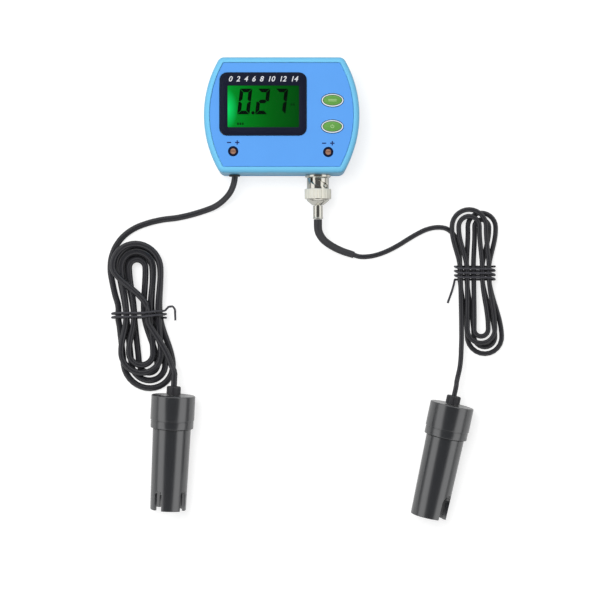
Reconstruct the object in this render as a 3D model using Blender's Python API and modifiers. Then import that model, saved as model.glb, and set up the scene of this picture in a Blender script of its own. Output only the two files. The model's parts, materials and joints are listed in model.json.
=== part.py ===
"""Two-probe pH and TDS monitor: a wall-box meter with a bayonet pH lead and a fixed TDS lead.

Metres, +Z up. The meter lies on its back on the surface z = 0, its display facing up. The origin is
the middle of the case's back face, and the leads leave through the case's lower side, towards -Y.
"""

import math

import bmesh
import bpy
import numpy as np
from mathutils import Matrix, Vector

# ---------------------------------------------------------------- clearances
GAP = 0.0003  # between two pieces that touch, and round a sliding fit
OVERSHOOT = 0.0020  # how far a cutter runs past the wall that it cuts

# ---------------------------------------------------------------- case
CASE_WIDTH = 0.0840  # across the bulge of the long sides
CASE_HEIGHT = 0.0624
CASE_DEPTH = 0.0300
SIDE_RADIUS = 0.0600  # of the bulging sides, seen from the front
SIDE_POINTS = 9  # of the outline along a bulging side
CORNER_RADIUS = 0.0040
WALL = 0.0022
BACK_SHELL_DEPTH = 0.0075
BACK_FLOOR = 0.0032
FRONT_EDGE_RADIUS = 0.0032
BACK_EDGE_RADIUS = 0.0020
FACE_RECESS = 0.0014  # how far the overlay's seat lies under the rim
RIM_WIDTH = 0.0034
OVERLAY_THICKNESS = 0.0006
LIP_HEIGHT = 0.0012  # register lip of the back shell, inside the front shell
LIP_THICKNESS = 0.0010

# ---------------------------------------------------------------- display
WINDOW_CENTRE = (-0.0099, 0.00443)
WINDOW_SIZE = (0.0384, 0.0224)  # what shows through the bezel
BEZEL_CENTRE = (-0.0100, 0.0057)
BEZEL_SIZE = (0.0466, 0.0336)
BEZEL_RADIUS = 0.0038
BEZEL_HEIGHT = 0.0014
WINDOW_RADIUS = 0.0010
WINDOW_THICKNESS = 0.0006
WINDOW_LAP = 0.0010  # how far the window plate reaches under the bezel
GLASS_SIZE = (0.0440, 0.0280)
GLASS_THICKNESS = 0.0026
BACKLIGHT_SIZE = (0.0440, 0.0225)
BACKLIGHT_THICKNESS = 0.0022
HOLDER_WALL = 0.0010
ZEBRA_SIZE = (0.0400, 0.0018)

# ---------------------------------------------------------------- main board
BOARD_THICKNESS = 0.0016
BOARD_SIDE_ROOM = 0.0068  # from the board's edges to the inner walls of the case
BOARD_TOP_ROOM = 0.0038
BOARD_NUT_ROOM = 0.0012  # and to the nut of the socket
CHIP_SIZE = (0.0140, 0.0140, 0.0016)
CHIP_CENTRE = (-0.0100, 0.0040)

# ---------------------------------------------------------------- buttons and their switches
BUTTON_CENTRES = {"upper": (0.0274, 0.0077), "lower": (0.0273, -0.0064)}
BUTTON_SIZE = (0.0101, 0.0053)
BUTTON_PROUD = 0.0010  # above the face of the overlay
BUTTON_TRAVEL = 0.0005
BUTTON_FLANGE = 0.0008  # how far the flange reaches out under the front wall
BUTTON_FLANGE_THICKNESS = 0.0008
BUTTON_STEM_RADIUS = 0.0016
RING_WIDTH = 0.0006
RING_PROUD = 0.0005
SWITCH_SIZE = 0.0060
SWITCH_HEIGHT = 0.0030
SWITCH_BORE_DEPTH = 0.0018

# ---------------------------------------------------------------- trimmers
TRIMMER_PLACES = {"tds": (-0.0261, 0.0115), "ph": (0.0251, 0.0111)}  # x, and how far up from the lower side
TRIMMER_BASE = 0.0064
TRIMMER_BASE_HEIGHT = 0.0038
TRIMMER_TOWER_RADIUS = 0.0025
ROTOR_RADIUS = 0.00155
ROTOR_DEPTH = 0.0060
ROTOR_BELOW_FACE = 0.0002
ROTOR_SLOT = (0.0006, 0.0007)  # width and depth

# ---------------------------------------------------------------- posts and screws
POST_X = 0.0313
POST_INSET = 0.0057  # from the upper and lower sides of the case
POST_RADIUS = 0.0030
POST_SPIGOT_RADIUS = 0.0025
POST_SIDES = 12
SCREW_SHANK_RADIUS = 0.00105
SCREW_HEAD_RADIUS = 0.0021
SCREW_HEAD_HEIGHT = 0.0016
SCREW_SINK = 0.0018  # the head's top below the back face
SCREW_LENGTH = 0.0100
BOSS_RADIUS = 0.0033

# ---------------------------------------------------------------- battery bay
CELL_RADIUS = 0.00525
CELL_LENGTH = 0.0445
CELL_NUB = (0.0019, 0.0010)  # radius and length
BAY_CENTRE = (0.0, 0.0150)
BAY_MARGIN = 0.0019  # between a cell's end and the bay's wall
BAY_SIDE_MARGIN = 0.0005
BAY_WALL = 0.0012
BAY_HEIGHT = 0.0042
CONTACT_THICKNESS = 0.0004
CONTACT_SIZE = (0.0080, 0.0070)
CONTACT_DOME_RADIUS = 0.0022
DOOR_THICKNESS = 0.0016
DOOR_INSET = 0.0002  # below the back face, so that only the shell touches a table
DOOR_LAP = 0.0012  # how far the door reaches past the bay on its sides
DOOR_TONGUE = (0.0016, 0.0007)  # width and thickness
DOOR_LOW_Y = 0.0025
DOOR_TRAVEL = 0.0260
GRIP_SLOTS = 4
GRIP_SLOT_SIZE = (0.0150, 0.0008, 0.0004)
GRIP_PITCH = 0.0020
GRIP_FIRST_Y = 0.0190

# ---------------------------------------------------------------- bayonet socket and plug, out from the case's side
SOCKET_X = 0.0197
PORT_UNDER_BOARD = 0.0008  # from the socket's thread up to the main board
SOCKET_FLANGE = (0.0070, 0.0013)  # radius and thickness
SOCKET_RADIUS = 0.0048
SOCKET_REACH = 0.0096
SOCKET_BORE = 0.00405
SOCKET_FLOOR = 0.0018
SOCKET_INNER_REACH = 0.0090  # of the threaded end, inside the case
INSULATOR_RADIUS = 0.0024
SOCKET_INSULATOR_REACH = 0.0084
CONTACT_RADIUS = 0.0012
CONTACT_REACH = 0.0081
CONTACT_BORE_DEPTH = 0.0058
CONTACT_TAIL = 0.0120
LUG_RADIUS = 0.00095
LUG_TIP_RADIUS = 0.0056
LUG_DISTANCE = 0.0064
LUG_ANGLE = math.radians(40)
NUT_ACROSS_FLATS = 0.0120
NUT_THICKNESS = 0.0026
COLLAR_START = 0.0019
COLLAR_BORE = 0.0051
COLLAR_FRONT_RADIUS = 0.0060
COLLAR_GRIP_START = 0.0079
COLLAR_GRIP_RADIUS = 0.0073
COLLAR_END = 0.0134
COLLAR_BACK_WALL = 0.0011
GRIP_KNURLS = 20
BAYONET_TURN = math.radians(80)
BAYONET_RUN = 0.0024
SLOT_POINTS = 7
GASKET_THICKNESS = 0.0008
GASKET_BORE = 0.0042
PLUG_FLANGE_RADIUS = 0.0047
PLUG_NECK_RADIUS = 0.0038
PLUG_SLEEVE = (0.0037, 0.0030)  # outer and inner radius
PLUG_SLEEVE_START = 0.0027
PLUG_BACK_RADIUS = 0.0064
PLUG_BACK_LENGTH = 0.0030
PLUG_BACK_END_RADIUS = 0.0031
CRIMP_NECK_RADIUS = 0.0017
CRIMP_RADIUS = 0.0027
CRIMP_WALL = 0.0006
CRIMP_LENGTH = 0.0072
CRIMP_RING = (0.0029, 0.0006)  # radius and length
PIN_RADIUS = 0.00067
PIN_START = 0.0030

# ---------------------------------------------------------------- cord of the TDS probe
TDS_CORD = 0.0034
TDS_PORT_X = -0.0259
TDS_LEAD_INSIDE = 0.0050  # the cord starts so far within the case's side
TDS_LEAD_DROP = (-0.0002, 0.0028)  # down and out, where it leaves its grommet
GROMMET_FLANGE_RADIUS = 0.0032
GROMMET_FLANGE = 0.0008
GROMMET_WALL = 0.0006
TDS_LEAD_ROUTE = (
    (-0.0277, -0.0394, 0.0105), (-0.0318, -0.0444, 0.0064),
    (-0.0375, -0.0483, 0.0031), (-0.0434, -0.0505, 0.0018), (-0.0500, -0.0525, 0.0017), (-0.0580, -0.0543, 0.0017),
    (-0.0660, -0.0553, 0.0017), (-0.0745, -0.0573, 0.0017), (-0.0822, -0.0604, 0.0017), (-0.0880, -0.0647, 0.0017),
    (-0.0923, -0.0705, 0.0017), (-0.0946, -0.0770, 0.0017), (-0.0950, -0.0835, 0.0019), (-0.0938, -0.0905, 0.0025),
    (-0.0923, -0.0970, 0.0031),
)
TDS_HANK = {
    "centre": (-0.0790, -0.1075),
    "pitch": 0.0043,
    "half_width": 0.0147,
    "upper_fold": 0.0255,
    "lower_fold": 0.0275,
    "waist_draw": 0.0022,
    "turns_per_layer": 2.5,
    "climb": (2.45, 2.67),
    "dwell": 0.12,
    "lean": 0.060,
    "upper_shift": (0.0, 0.0),
    "lower_shift": (0.0025, -0.0015),
    "lower_drop": (0.0, -0.0060),
    "tie_lift": 0.0021,
    "end_x": 0.0055,
    "exit_climb": (0.5, 0.3),  # turns left, between which the last run climbs over the others
    "exit_cross": (0.162, 0.012),  # and between which it crosses to its end
}
TDS_TAIL_BEND = (
    (-0.0716, -0.1150, 0.0124), (-0.0672, -0.1220, 0.0120), (-0.0632, -0.1290, 0.0118), (-0.0604, -0.1360, 0.0119),
)
TDS_PROBE_TOP = (-0.0594, -0.1519)
TDS_PROBE_TURN = math.radians(2.9)

# ---------------------------------------------------------------- cord of the pH probe
PH_CORD = 0.0027
PH_SLEEVE_RADII = (0.0023, 0.0019)
PH_SLEEVE_ROUTE = (
    (0.0200, -0.0620, 0.0131), (0.0222, -0.0661, 0.0112), (0.0268, -0.0697, 0.0077), (0.0330, -0.0727, 0.0042),
    (0.0395, -0.0748, 0.0022),
)
PH_LEAD_ROUTE = (
    (0.0481, -0.0757, 0.0014), (0.0544, -0.0742, 0.0014),
    (0.0597, -0.0720, 0.0014), (0.0647, -0.0693, 0.0014), (0.0697, -0.0662, 0.0014), (0.0748, -0.0632, 0.0014),
    (0.0799, -0.0608, 0.0014), (0.0855, -0.0596, 0.0014), (0.0910, -0.0603, 0.0014), (0.0952, -0.0638, 0.0014),
    (0.0973, -0.0690, 0.0016), (0.0981, -0.0745, 0.0021),
)
PH_HANK = {
    "centre": (0.1062, -0.0855),
    "pitch": 0.00373,
    "half_width": 0.0105,
    "upper_fold": 0.0262,
    "lower_fold": 0.0345,
    "waist_draw": 0.0016,
    "turns_per_layer": 2.0,
    "climb": (1.84, 2.16),
    "dwell": 0.03,
    "lean": 0.010,
    "upper_shift": (0.0034, -0.0034),
    "lower_shift": (0.0048, 0.0022),
    "lower_drop": (0.0, -0.0040),
    "tie_lift": 0.0021,
    "end_x": None,
}
PH_TAIL_BEND = ((0.0986, -0.0960, 0.0062), (0.0989, -0.1100, 0.0060), (0.0988, -0.1240, 0.0070),
                (0.0978, -0.1365, 0.0092), (0.0958, -0.1450, 0.0112))
PH_PROBE_TOP = (0.0933, -0.1570)
PH_PROBE_TURN = math.radians(11.9)

# ---------------------------------------------------------------- cord ties
TIE_RADIUS = 0.0006
TIE_GAP = 0.0008
TIE_STEP = 0.85  # radians, along a corner of its winding
TDS_TIE_HELD = ((0.0118, 0), (0.0118, 1), (0.0072, 2), (0.0048, 2), (-0.0114, 1), (-0.0114, 0))
PH_TIE_HELD = ((0.0082, 0), (0.0082, 1), (-0.0080, 1), (-0.0080, 0))
TDS_TIE_TAIL = ((0.0165, 0.0040, 0.0070), (0.0188, 0.0042, 0.0066), (0.0200, 0.0025, 0.0060), (0.0201, -0.0035, 0.0050))
PH_TIE_TAIL = ((-0.0114, -0.0062, 0.0030), (-0.0122, -0.0095, 0.0012), (-0.0136, -0.0135, 0.0007),
               (-0.0145, -0.0160, 0.0007))

# ---------------------------------------------------------------- probes, along their axis from the cap's top
PROBE_LENGTH = 0.0630
CAP_RADIUS = 0.0120
CAP_BAND = 0.0135
CAP_GROOVE = 0.0005
CAP_RING_RADIUS = 0.0117
CAP_LENGTH = 0.0180
CAP_TOP_WALL = 0.0026
CAP_EDGE = 0.0007
NECK_RADIUS = 0.0094
SHOULDER_RADIUS = 0.0104
TIP_RADIUS = 0.0098
GUARD_BORE = 0.0080
GUARD_DEPTH = 0.0200
GLAND_RADIUS = 0.0039
GLAND_NECK_RADIUS = 0.0029
GLAND_HEIGHT = 0.0048
GLAND_SOCKET = 0.0035
GLAND_RIBS = 8
TDS_NOTCH = (0.0044, 0.0110)  # width and height
TDS_NOTCH_AZIMUTHS = (32, 122, 212, 302)
PH_NOTCH = (0.0092, 0.0140)
PH_NOTCH_AZIMUTHS = (30, 210)
ELECTRODE_RADIUS = 0.0014
ELECTRODE_SPACING = 0.0076
ELECTRODE_REACH = 0.0120
ELECTRODE_SEAT = 0.0040
BULB_RADIUS = 0.0042
BULB_STEM_RADIUS = 0.0034
BULB_REACH = 0.0150
BULB_SEAT = 0.0040

# ---------------------------------------------------------------- heights that several pieces share
RECESS_Z = CASE_DEPTH - FACE_RECESS
OVERLAY_Z = RECESS_Z + GAP
FACE_Z = OVERLAY_Z + OVERLAY_THICKNESS
FRONT_INNER_Z = RECESS_Z - WALL
GLASS_Z = FRONT_INNER_Z - GAP - GLASS_THICKNESS
BACKLIGHT_Z = GLASS_Z - GAP - BACKLIGHT_THICKNESS
BOARD_TOP_Z = BACKLIGHT_Z - GAP
BOARD_Z = BOARD_TOP_Z - BOARD_THICKNESS
PORT_Z = BOARD_Z - PORT_UNDER_BOARD - SOCKET_RADIUS

# ---------------------------------------------------------------- places that follow the sides of the case
UPPER_SIDE_Y = CASE_HEIGHT / 2
LOWER_SIDE_Y = -UPPER_SIDE_Y
POST_XY = (POST_X, UPPER_SIDE_Y - POST_INSET)
TRIMMER_CENTRES = {name: (x, LOWER_SIDE_Y + up) for name, (x, up) in TRIMMER_PLACES.items()}


# ================================================================ the scene
def clear_scene():
    for obj in list(bpy.data.objects):
        bpy.data.objects.remove(obj)


def collection(name):
    made = bpy.data.collections.new(name)
    bpy.context.scene.collection.children.link(made)
    return made


clear_scene()
PARTS = collection("ph_meter")
CUTTERS = collection("cutters")
CUTTERS.hide_render = True


def finish(name, colour, roughness, metallic=0.0, transmission=0.0):
    made = bpy.data.materials.new(name)
    made.use_nodes = True
    shader = made.node_tree.nodes["Principled BSDF"]
    shader.inputs["Base Color"].default_value = (*colour, 1.0)
    shader.inputs["Roughness"].default_value = roughness
    shader.inputs["Metallic"].default_value = metallic
    shader.inputs["Transmission Weight"].default_value = transmission
    return made


BLUE_RIM = finish("blue_shell", (0.21, 0.58, 0.94), 0.35)
BLUE_FACE = finish("blue_overlay", (0.13, 0.42, 0.96), 0.45)
NAVY = finish("navy_bezel", (0.016, 0.020, 0.034), 0.35)
CLEAR = finish("clear_window", (0.90, 0.95, 0.92), 0.05, transmission=0.9)
LCD_GREEN = finish("lcd_glass", (0.02, 0.40, 0.10), 0.15)
BACKLIGHT = finish("backlight", (0.10, 0.75, 0.25), 0.30)
PALE_PLASTIC = finish("pale_plastic", (0.75, 0.75, 0.72), 0.50)
ZEBRA = finish("zebra_rubber", (0.35, 0.35, 0.38), 0.70)
BOARD_GREEN = finish("board_green", (0.02, 0.22, 0.08), 0.45)
CHIP_BLACK = finish("chip_black", (0.02, 0.02, 0.02), 0.50)
BUTTON_GREEN = finish("button_green", (0.13, 0.36, 0.09), 0.40)
BRIGHT_METAL = finish("bright_metal", (0.78, 0.79, 0.80), 0.22, 1.0)
NICKEL = finish("nickel", (0.66, 0.65, 0.62), 0.25, 1.0)
BRASS = finish("gold_contact", (0.80, 0.60, 0.25), 0.30, 1.0)
STEEL = finish("steel", (0.55, 0.55, 0.56), 0.35, 1.0)
TRIMMER_NAVY = finish("trimmer_navy", (0.02, 0.03, 0.09), 0.45)
ROTOR_TAN = finish("rotor_tan", (0.45, 0.26, 0.12), 0.50)
BLACK_RUBBER = finish("black_rubber", (0.018, 0.018, 0.020), 0.55)
BLACK_PLASTIC = finish("black_plastic", (0.020, 0.021, 0.022), 0.40)
WHITE_PTFE = finish("white_ptfe", (0.85, 0.85, 0.83), 0.40)
SILICONE = finish("silicone", (0.55, 0.20, 0.12), 0.60)
CELL_BLUE = finish("cell_wrap", (0.10, 0.12, 0.16), 0.35)
GLASS = finish("bulb_glass", (0.85, 0.92, 0.95), 0.05, transmission=0.9)


# ================================================================ shapes
def add(name, mesh, material=None):
    """The part of this name; with no material it is a cutter."""
    made = bpy.data.objects.new(name, mesh)
    if material is None:
        CUTTERS.objects.link(made)
        made.hide_render = True
        made.display_type = "WIRE"
    else:
        PARTS.objects.link(made)
        mesh.materials.append(material)
    return made


def shaded(mesh):
    mesh.shade_smooth()
    mesh.set_sharp_from_angle(angle=math.radians(32))
    return mesh


def mesh_from(name, bm):
    bmesh.ops.recalc_face_normals(bm, faces=bm.faces)
    mesh = bpy.data.meshes.new(name)
    bm.to_mesh(mesh)
    bm.free()
    return shaded(mesh)


def box(name, low, high, material=None):
    bm = bmesh.new()
    bmesh.ops.create_cube(bm, size=1.0)
    low, high = Vector(low), Vector(high)
    bmesh.ops.scale(bm, vec=high - low, verts=bm.verts)
    bmesh.ops.translate(bm, vec=(low + high) / 2, verts=bm.verts)
    return add(name, mesh_from(name, bm), material)


def cylinder(name, centre, radius, z_low, z_high, material=None, segments=20):
    """An upright cylinder, its axis through centre (x, y)."""
    bm = bmesh.new()
    bmesh.ops.create_cone(bm, cap_ends=True, segments=segments, radius1=radius, radius2=radius, depth=z_high - z_low)
    bmesh.ops.translate(bm, vec=(centre[0], centre[1], (z_low + z_high) / 2), verts=bm.verts)
    return add(name, mesh_from(name, bm), material)


def post(name, centre, radius, z_low, z_high):
    """A cylinder of one of the four screw posts, or its cutter: all have the same few sides."""
    return cylinder(name, centre, radius, z_low, z_high, segments=POST_SIDES)


def mesh_of(source):
    """The evaluated mesh of an object, its loose caps welded; the object is removed."""
    bpy.context.view_layer.update()
    mesh = bpy.data.meshes.new_from_object(source.evaluated_get(bpy.context.evaluated_depsgraph_get()))
    bm = bmesh.new()
    bm.from_mesh(mesh)
    bmesh.ops.remove_doubles(bm, verts=bm.verts, dist=1e-6)
    bmesh.ops.dissolve_limit(bm, angle_limit=math.radians(0.05), verts=bm.verts, edges=bm.edges)
    bm.to_mesh(mesh)
    bm.free()
    mesh.transform(source.matrix_world)
    bpy.data.objects.remove(source)
    return mesh


def prism(name, outline, z_low, z_high, material=None, top_round=0.0, low_round=0.0):
    """An upright prism over a closed outline, with one of its ends' edges rounded where a radius is given."""
    curve = bpy.data.curves.new(name, "CURVE")
    curve.dimensions = "2D"
    curve.fill_mode = "BOTH"
    curve.extrude = (z_high - z_low) / 2
    spline = curve.splines.new("POLY")
    spline.points.add(len(outline) - 1)
    for point, (x, y) in zip(spline.points, outline):
        point.co = (x, y, 0.0, 1.0)
    spline.use_cyclic_u = True
    flat = bpy.data.objects.new(name, curve)
    flat.location.z = (z_low + z_high) / 2
    CUTTERS.objects.link(flat)
    mesh = mesh_of(flat)
    bm = bmesh.new()
    bm.from_mesh(mesh)
    for height, radius in ((z_high, top_round), (z_low, low_round)):
        if radius:
            rim = [e for e in bm.edges if all(abs(v.co.z - height) < 1e-6 for v in e.verts)]
            bmesh.ops.bevel(bm, geom=rim, offset=radius, segments=3, profile=0.5, affect="EDGES", material=-1,
                            clamp_overlap=False)
    bm.to_mesh(mesh)
    bm.free()
    mesh.name = name
    return add(name, shaded(mesh), material)


def turned(name, profile, material=None, segments=20):
    """A solid of revolution about Z. The profile is (radius, z), and runs down its outer side; one that doesn't
    start and end on the axis is closed, and makes a ring."""
    mesh = bpy.data.meshes.new(name)
    count = len(profile)
    on_axis = profile[0][0] == 0.0 and profile[-1][0] == 0.0
    edges = [(i, i + 1) for i in range(count - 1)] + ([] if on_axis else [(count - 1, 0)])
    mesh.from_pydata([(r, 0.0, z) for r, z in profile], edges, [])
    made = add(name, mesh, material)
    screw = made.modifiers.new("turn", "SCREW")
    screw.steps = segments
    screw.render_steps = segments
    screw.use_merge_vertices = True
    screw.merge_threshold = 0.00001
    screw.use_smooth_shade = False
    return made


def tube(name, points, radii, material=None, resolution=2):
    """A round tube along points: one radius, or one for each point."""
    curve = bpy.data.curves.new(name, "CURVE")
    curve.dimensions = "3D"
    curve.bevel_depth = 1.0
    curve.bevel_resolution = resolution
    curve.use_fill_caps = True
    curve.twist_mode = "MINIMUM"
    spline = curve.splines.new("POLY")
    spline.points.add(len(points) - 1)
    if np.isscalar(radii):
        radii = [radii] * len(points)
    for point, place, radius in zip(spline.points, points, radii):
        point.co = (*place, 1.0)
        point.radius = radius
    wound = bpy.data.objects.new(name, curve)
    CUTTERS.objects.link(wound)
    mesh = mesh_of(wound)
    mesh.name = name
    mesh.shade_smooth()
    return add(name, mesh, material)


def boolean(target, operation, tools):
    for tool in tools:
        step = target.modifiers.new(operation.lower() + "_" + tool.name, "BOOLEAN")
        step.operation = operation
        step.solver = "EXACT"
        step.object = tool
    return target


def cut(target, *tools):
    return boolean(target, "DIFFERENCE", tools)


def join(target, *tools):
    return boolean(target, "UNION", tools)


def place(matrix, *objects):
    """Sets objects that were made about the origin onto a frame."""
    for obj in objects:
        obj.matrix_world = matrix


# ================================================================ outlines
def case_outline(inset=0.0):
    """The case seen from the front, moved inwards: flat top and bottom, bulging sides, round corners."""
    centre_x = CASE_WIDTH / 2 - SIDE_RADIUS
    side = SIDE_RADIUS - inset
    high = CASE_HEIGHT / 2 - inset
    corner = max(CORNER_RADIUS - inset, 0.0008)
    corner_y = high - corner
    corner_x = centre_x + math.sqrt((side - corner) ** 2 - corner_y**2)
    lift = math.atan2(corner_y, corner_x - centre_x)
    right = [(centre_x + side * math.cos(a), side * math.sin(a)) for a in np.linspace(-lift, lift, SIDE_POINTS)]
    middle = right[SIDE_POINTS // 2]
    bend = [(corner_x + corner * math.cos(a), corner_y + corner * math.sin(a))
            for a in np.linspace(lift, math.pi / 2, 5)[1:]]
    quarter = right[SIDE_POINTS // 2 + 1:] + bend
    left = [(-x, y) for x, y in reversed(quarter)]
    low = [(x, -y) for x, y in reversed(left)] + [(x, -y) for x, y in reversed(quarter)]
    return [middle] + quarter + left + [(-middle[0], 0.0)] + low


def rounded_rectangle(centre, size, radius, steps=4):
    corners = ((1, 1, 0), (-1, 1, 90), (-1, -1, 180), (1, -1, 270))
    points = []
    for sx, sy, start in corners:
        cx = centre[0] + sx * (size[0] / 2 - radius)
        cy = centre[1] + sy * (size[1] / 2 - radius)
        for step in range(steps + 1):
            a = math.radians(start + 90 * step / steps)
            points.append((cx + radius * math.cos(a), cy + radius * math.sin(a)))
    return points


def ellipse(centre, size, grow=0.0, steps=20):
    return [
        (centre[0] + (size[0] / 2 + grow) * math.cos(a), centre[1] + (size[1] / 2 + grow) * math.sin(a))
        for a in np.linspace(0, 2 * math.pi, steps, endpoint=False)
    ]


def corner_places():
    return [(sx * POST_XY[0], sy * POST_XY[1]) for sx in (-1, 1) for sy in (-1, 1)]


# ================================================================ frames of the turned pieces
SOCKET_FRAME = Matrix.Translation((SOCKET_X, LOWER_SIDE_Y, PORT_Z)) @ Matrix.Rotation(math.pi / 2, 4, "X")
TDS_PORT_FRAME = Matrix.Translation((TDS_PORT_X, LOWER_SIDE_Y, PORT_Z)) @ Matrix.Rotation(math.pi / 2, 4, "X")


def probe_frame(top, turn):
    """A probe lying on the table on the edge of its cap and on its tip: +Z runs from the cap's top to the tip."""
    drop = math.asin((CAP_RADIUS - TIP_RADIUS) / (PROBE_LENGTH - CAP_BAND))
    along = Vector((-math.sin(turn) * math.cos(drop), -math.cos(turn) * math.cos(drop), -math.sin(drop)))
    side = Vector((math.cos(turn), -math.sin(turn), 0.0))
    up = along.cross(side)
    turned_so = Matrix((side, up, along)).transposed().to_4x4()
    height = TIP_RADIUS * math.cos(drop) + PROBE_LENGTH * math.sin(drop)
    return Matrix.Translation((top[0], top[1], height)) @ turned_so


TDS_PROBE_FRAME = probe_frame(TDS_PROBE_TOP, TDS_PROBE_TURN)
PH_PROBE_FRAME = probe_frame(PH_PROBE_TOP, PH_PROBE_TURN)


# ================================================================ case and what closes it
def make_front_shell():
    shell = prism("front_shell", case_outline(), BACK_SHELL_DEPTH, CASE_DEPTH, BLUE_RIM, top_round=FRONT_EDGE_RADIUS)
    cavity = prism("front_cavity", case_outline(WALL), BACK_SHELL_DEPTH - OVERSHOOT, FRONT_INNER_Z)
    recess = prism("face_recess", case_outline(RIM_WIDTH - GAP), RECESS_Z, CASE_DEPTH + OVERSHOOT)
    view = box("display_hole", *window_box(GAP, FRONT_INNER_Z - OVERSHOOT, RECESS_Z + OVERSHOOT))
    cut(shell, cavity, recess, view)
    for name, centre in BUTTON_CENTRES.items():
        hole = ellipse(centre, BUTTON_SIZE, RING_WIDTH + 2 * GAP)
        cut(shell, prism(name + "_button_hole", hole, FRONT_INNER_Z - OVERSHOOT, RECESS_Z + OVERSHOOT))
    for name, centre in TRIMMER_CENTRES.items():
        cut(shell, cylinder(name + "_trimmer_hole", centre, TRIMMER_TOWER_RADIUS + GAP,
                            FRONT_INNER_Z - OVERSHOOT, RECESS_Z + OVERSHOOT))
    for index, corner in enumerate(corner_places()):
        join(shell, post(f"post_{index}", corner, POST_RADIUS, BOARD_TOP_Z + GAP, FRONT_INNER_Z + WALL / 2),
             post(f"post_spigot_{index}", corner, POST_SPIGOT_RADIUS, BACK_SHELL_DEPTH, BOARD_TOP_Z + OVERSHOOT))
        cut(shell, post(f"post_bore_{index}", corner, SCREW_SHANK_RADIUS + GAP, 0.0,
                        SCREW_SINK + SCREW_HEAD_HEIGHT + SCREW_LENGTH + 2 * GAP))
    cut(shell, *port_cutters("front"))
    return shell


def port_cutters(shell_name):
    """The bores of the socket and of the grommet, which reach into the back shell where the case is shallow."""
    return (port_cutter(shell_name + "_socket_hole", SOCKET_FRAME, SOCKET_RADIUS + GAP),
            port_cutter(shell_name + "_grommet_hole", TDS_PORT_FRAME, TDS_CORD / 2 + GAP + GROMMET_WALL + GAP))


def port_cutter(name, frame, radius):
    """A bore through the case's lower side."""
    hole = turned(name, [(0.0, OVERSHOOT), (radius, OVERSHOOT), (radius, -WALL - OVERSHOOT),
                         (0.0, -WALL - OVERSHOOT)])
    place(frame, hole)
    return hole


def window_box(grow, z_low, z_high):
    half = (WINDOW_SIZE[0] / 2 + grow, WINDOW_SIZE[1] / 2 + grow)
    return (
        (WINDOW_CENTRE[0] - half[0], WINDOW_CENTRE[1] - half[1], z_low),
        (WINDOW_CENTRE[0] + half[0], WINDOW_CENTRE[1] + half[1], z_high),
    )


def cell_places():
    """The axis height of the cells and the y of each."""
    height = DOOR_INSET + DOOR_THICKNESS + GAP + CELL_RADIUS
    step = CELL_RADIUS + GAP / 2
    return height, (BAY_CENTRE[1] - step, BAY_CENTRE[1] + step)


def bay_half_size():
    return CELL_LENGTH / 2 + BAY_MARGIN, 2 * CELL_RADIUS + GAP / 2 + BAY_SIDE_MARGIN


def make_back_shell():
    shell = prism("back_shell", case_outline(), 0.0, BACK_SHELL_DEPTH - GAP, BLUE_RIM, low_round=BACK_EDGE_RADIUS)
    lip = prism("register_lip", case_outline(WALL + GAP), BACK_FLOOR, BACK_SHELL_DEPTH + LIP_HEIGHT)
    for index, corner in enumerate(corner_places()):
        cut(lip, post(f"lip_notch_{index}", corner, POST_RADIUS + GAP, BACK_SHELL_DEPTH - GAP, CASE_DEPTH))
    half_x, half_y = bay_half_size()
    bay_low = (BAY_CENTRE[0] - half_x, BAY_CENTRE[1] - half_y)
    bay_high = (BAY_CENTRE[0] + half_x, BAY_CENTRE[1] + half_y)
    bay = box("bay_walls", (bay_low[0] - BAY_WALL, bay_low[1] - BAY_WALL, BACK_FLOOR / 2),
              (bay_high[0] + BAY_WALL, bay_high[1] + BAY_WALL, BACK_FLOOR + BAY_HEIGHT))
    join(shell, lip)
    cut(shell, prism("back_cavity", case_outline(WALL + GAP + LIP_THICKNESS), BACK_FLOOR,
                     BACK_SHELL_DEPTH + LIP_HEIGHT + OVERSHOOT))
    join(shell, bay)
    for index, corner in enumerate(corner_places()):
        join(shell, post(f"boss_{index}", corner, BOSS_RADIUS, BACK_FLOOR / 2, BACK_SHELL_DEPTH - GAP))
        cut(shell, post(f"screw_hole_{index}", corner, SCREW_SHANK_RADIUS + GAP, -OVERSHOOT,
                        BACK_SHELL_DEPTH + OVERSHOOT),
            post(f"counterbore_{index}", corner, SCREW_HEAD_RADIUS + GAP, -OVERSHOOT,
                 SCREW_SINK + SCREW_HEAD_HEIGHT + GAP))
    cut(shell, box("bay_hole", (*bay_low, -OVERSHOOT), (*bay_high, BACK_FLOOR + BAY_HEIGHT + OVERSHOOT)))
    side, tongue, top = door_half_widths()
    cut(shell,
        box("door_slot", (-side - GAP, DOOR_LOW_Y - GAP, -OVERSHOOT), (side + GAP, CASE_HEIGHT, top + GAP)),
        box("door_groove", (-tongue - GAP, DOOR_LOW_Y - GAP, top - DOOR_TONGUE[1] - GAP),
            (tongue + GAP, CASE_HEIGHT, top + GAP)))
    grommet_room = turned("grommet_room", [(0.0, 0.0), (GROMMET_FLANGE_RADIUS + GAP, 0.0),
                                           (GROMMET_FLANGE_RADIUS + GAP, -2 * WALL), (0.0, -2 * WALL)])
    place(TDS_PORT_FRAME, grommet_room)
    cut(shell, nut_room(), grommet_room, *port_cutters("back"))
    return shell


def nut_room():
    """Clears the register lip where the nut and the washer of the socket lie against the front shell's side."""
    radius = NUT_ACROSS_FLATS / 2 / math.cos(math.pi / 6) + GAP
    room = turned("nut_room", [(0.0, -WALL + GAP), (radius, -WALL + GAP),
                               (radius, -WALL - LIP_THICKNESS - 3 * GAP), (0.0, -WALL - LIP_THICKNESS - 3 * GAP)])
    place(SOCKET_FRAME, room)
    return room


def door_half_widths():
    """Half the door's width, half its width over the tongues, and its upper face."""
    side = bay_half_size()[0] + DOOR_LAP
    return side, side + DOOR_TONGUE[0], DOOR_INSET + DOOR_THICKNESS


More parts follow.
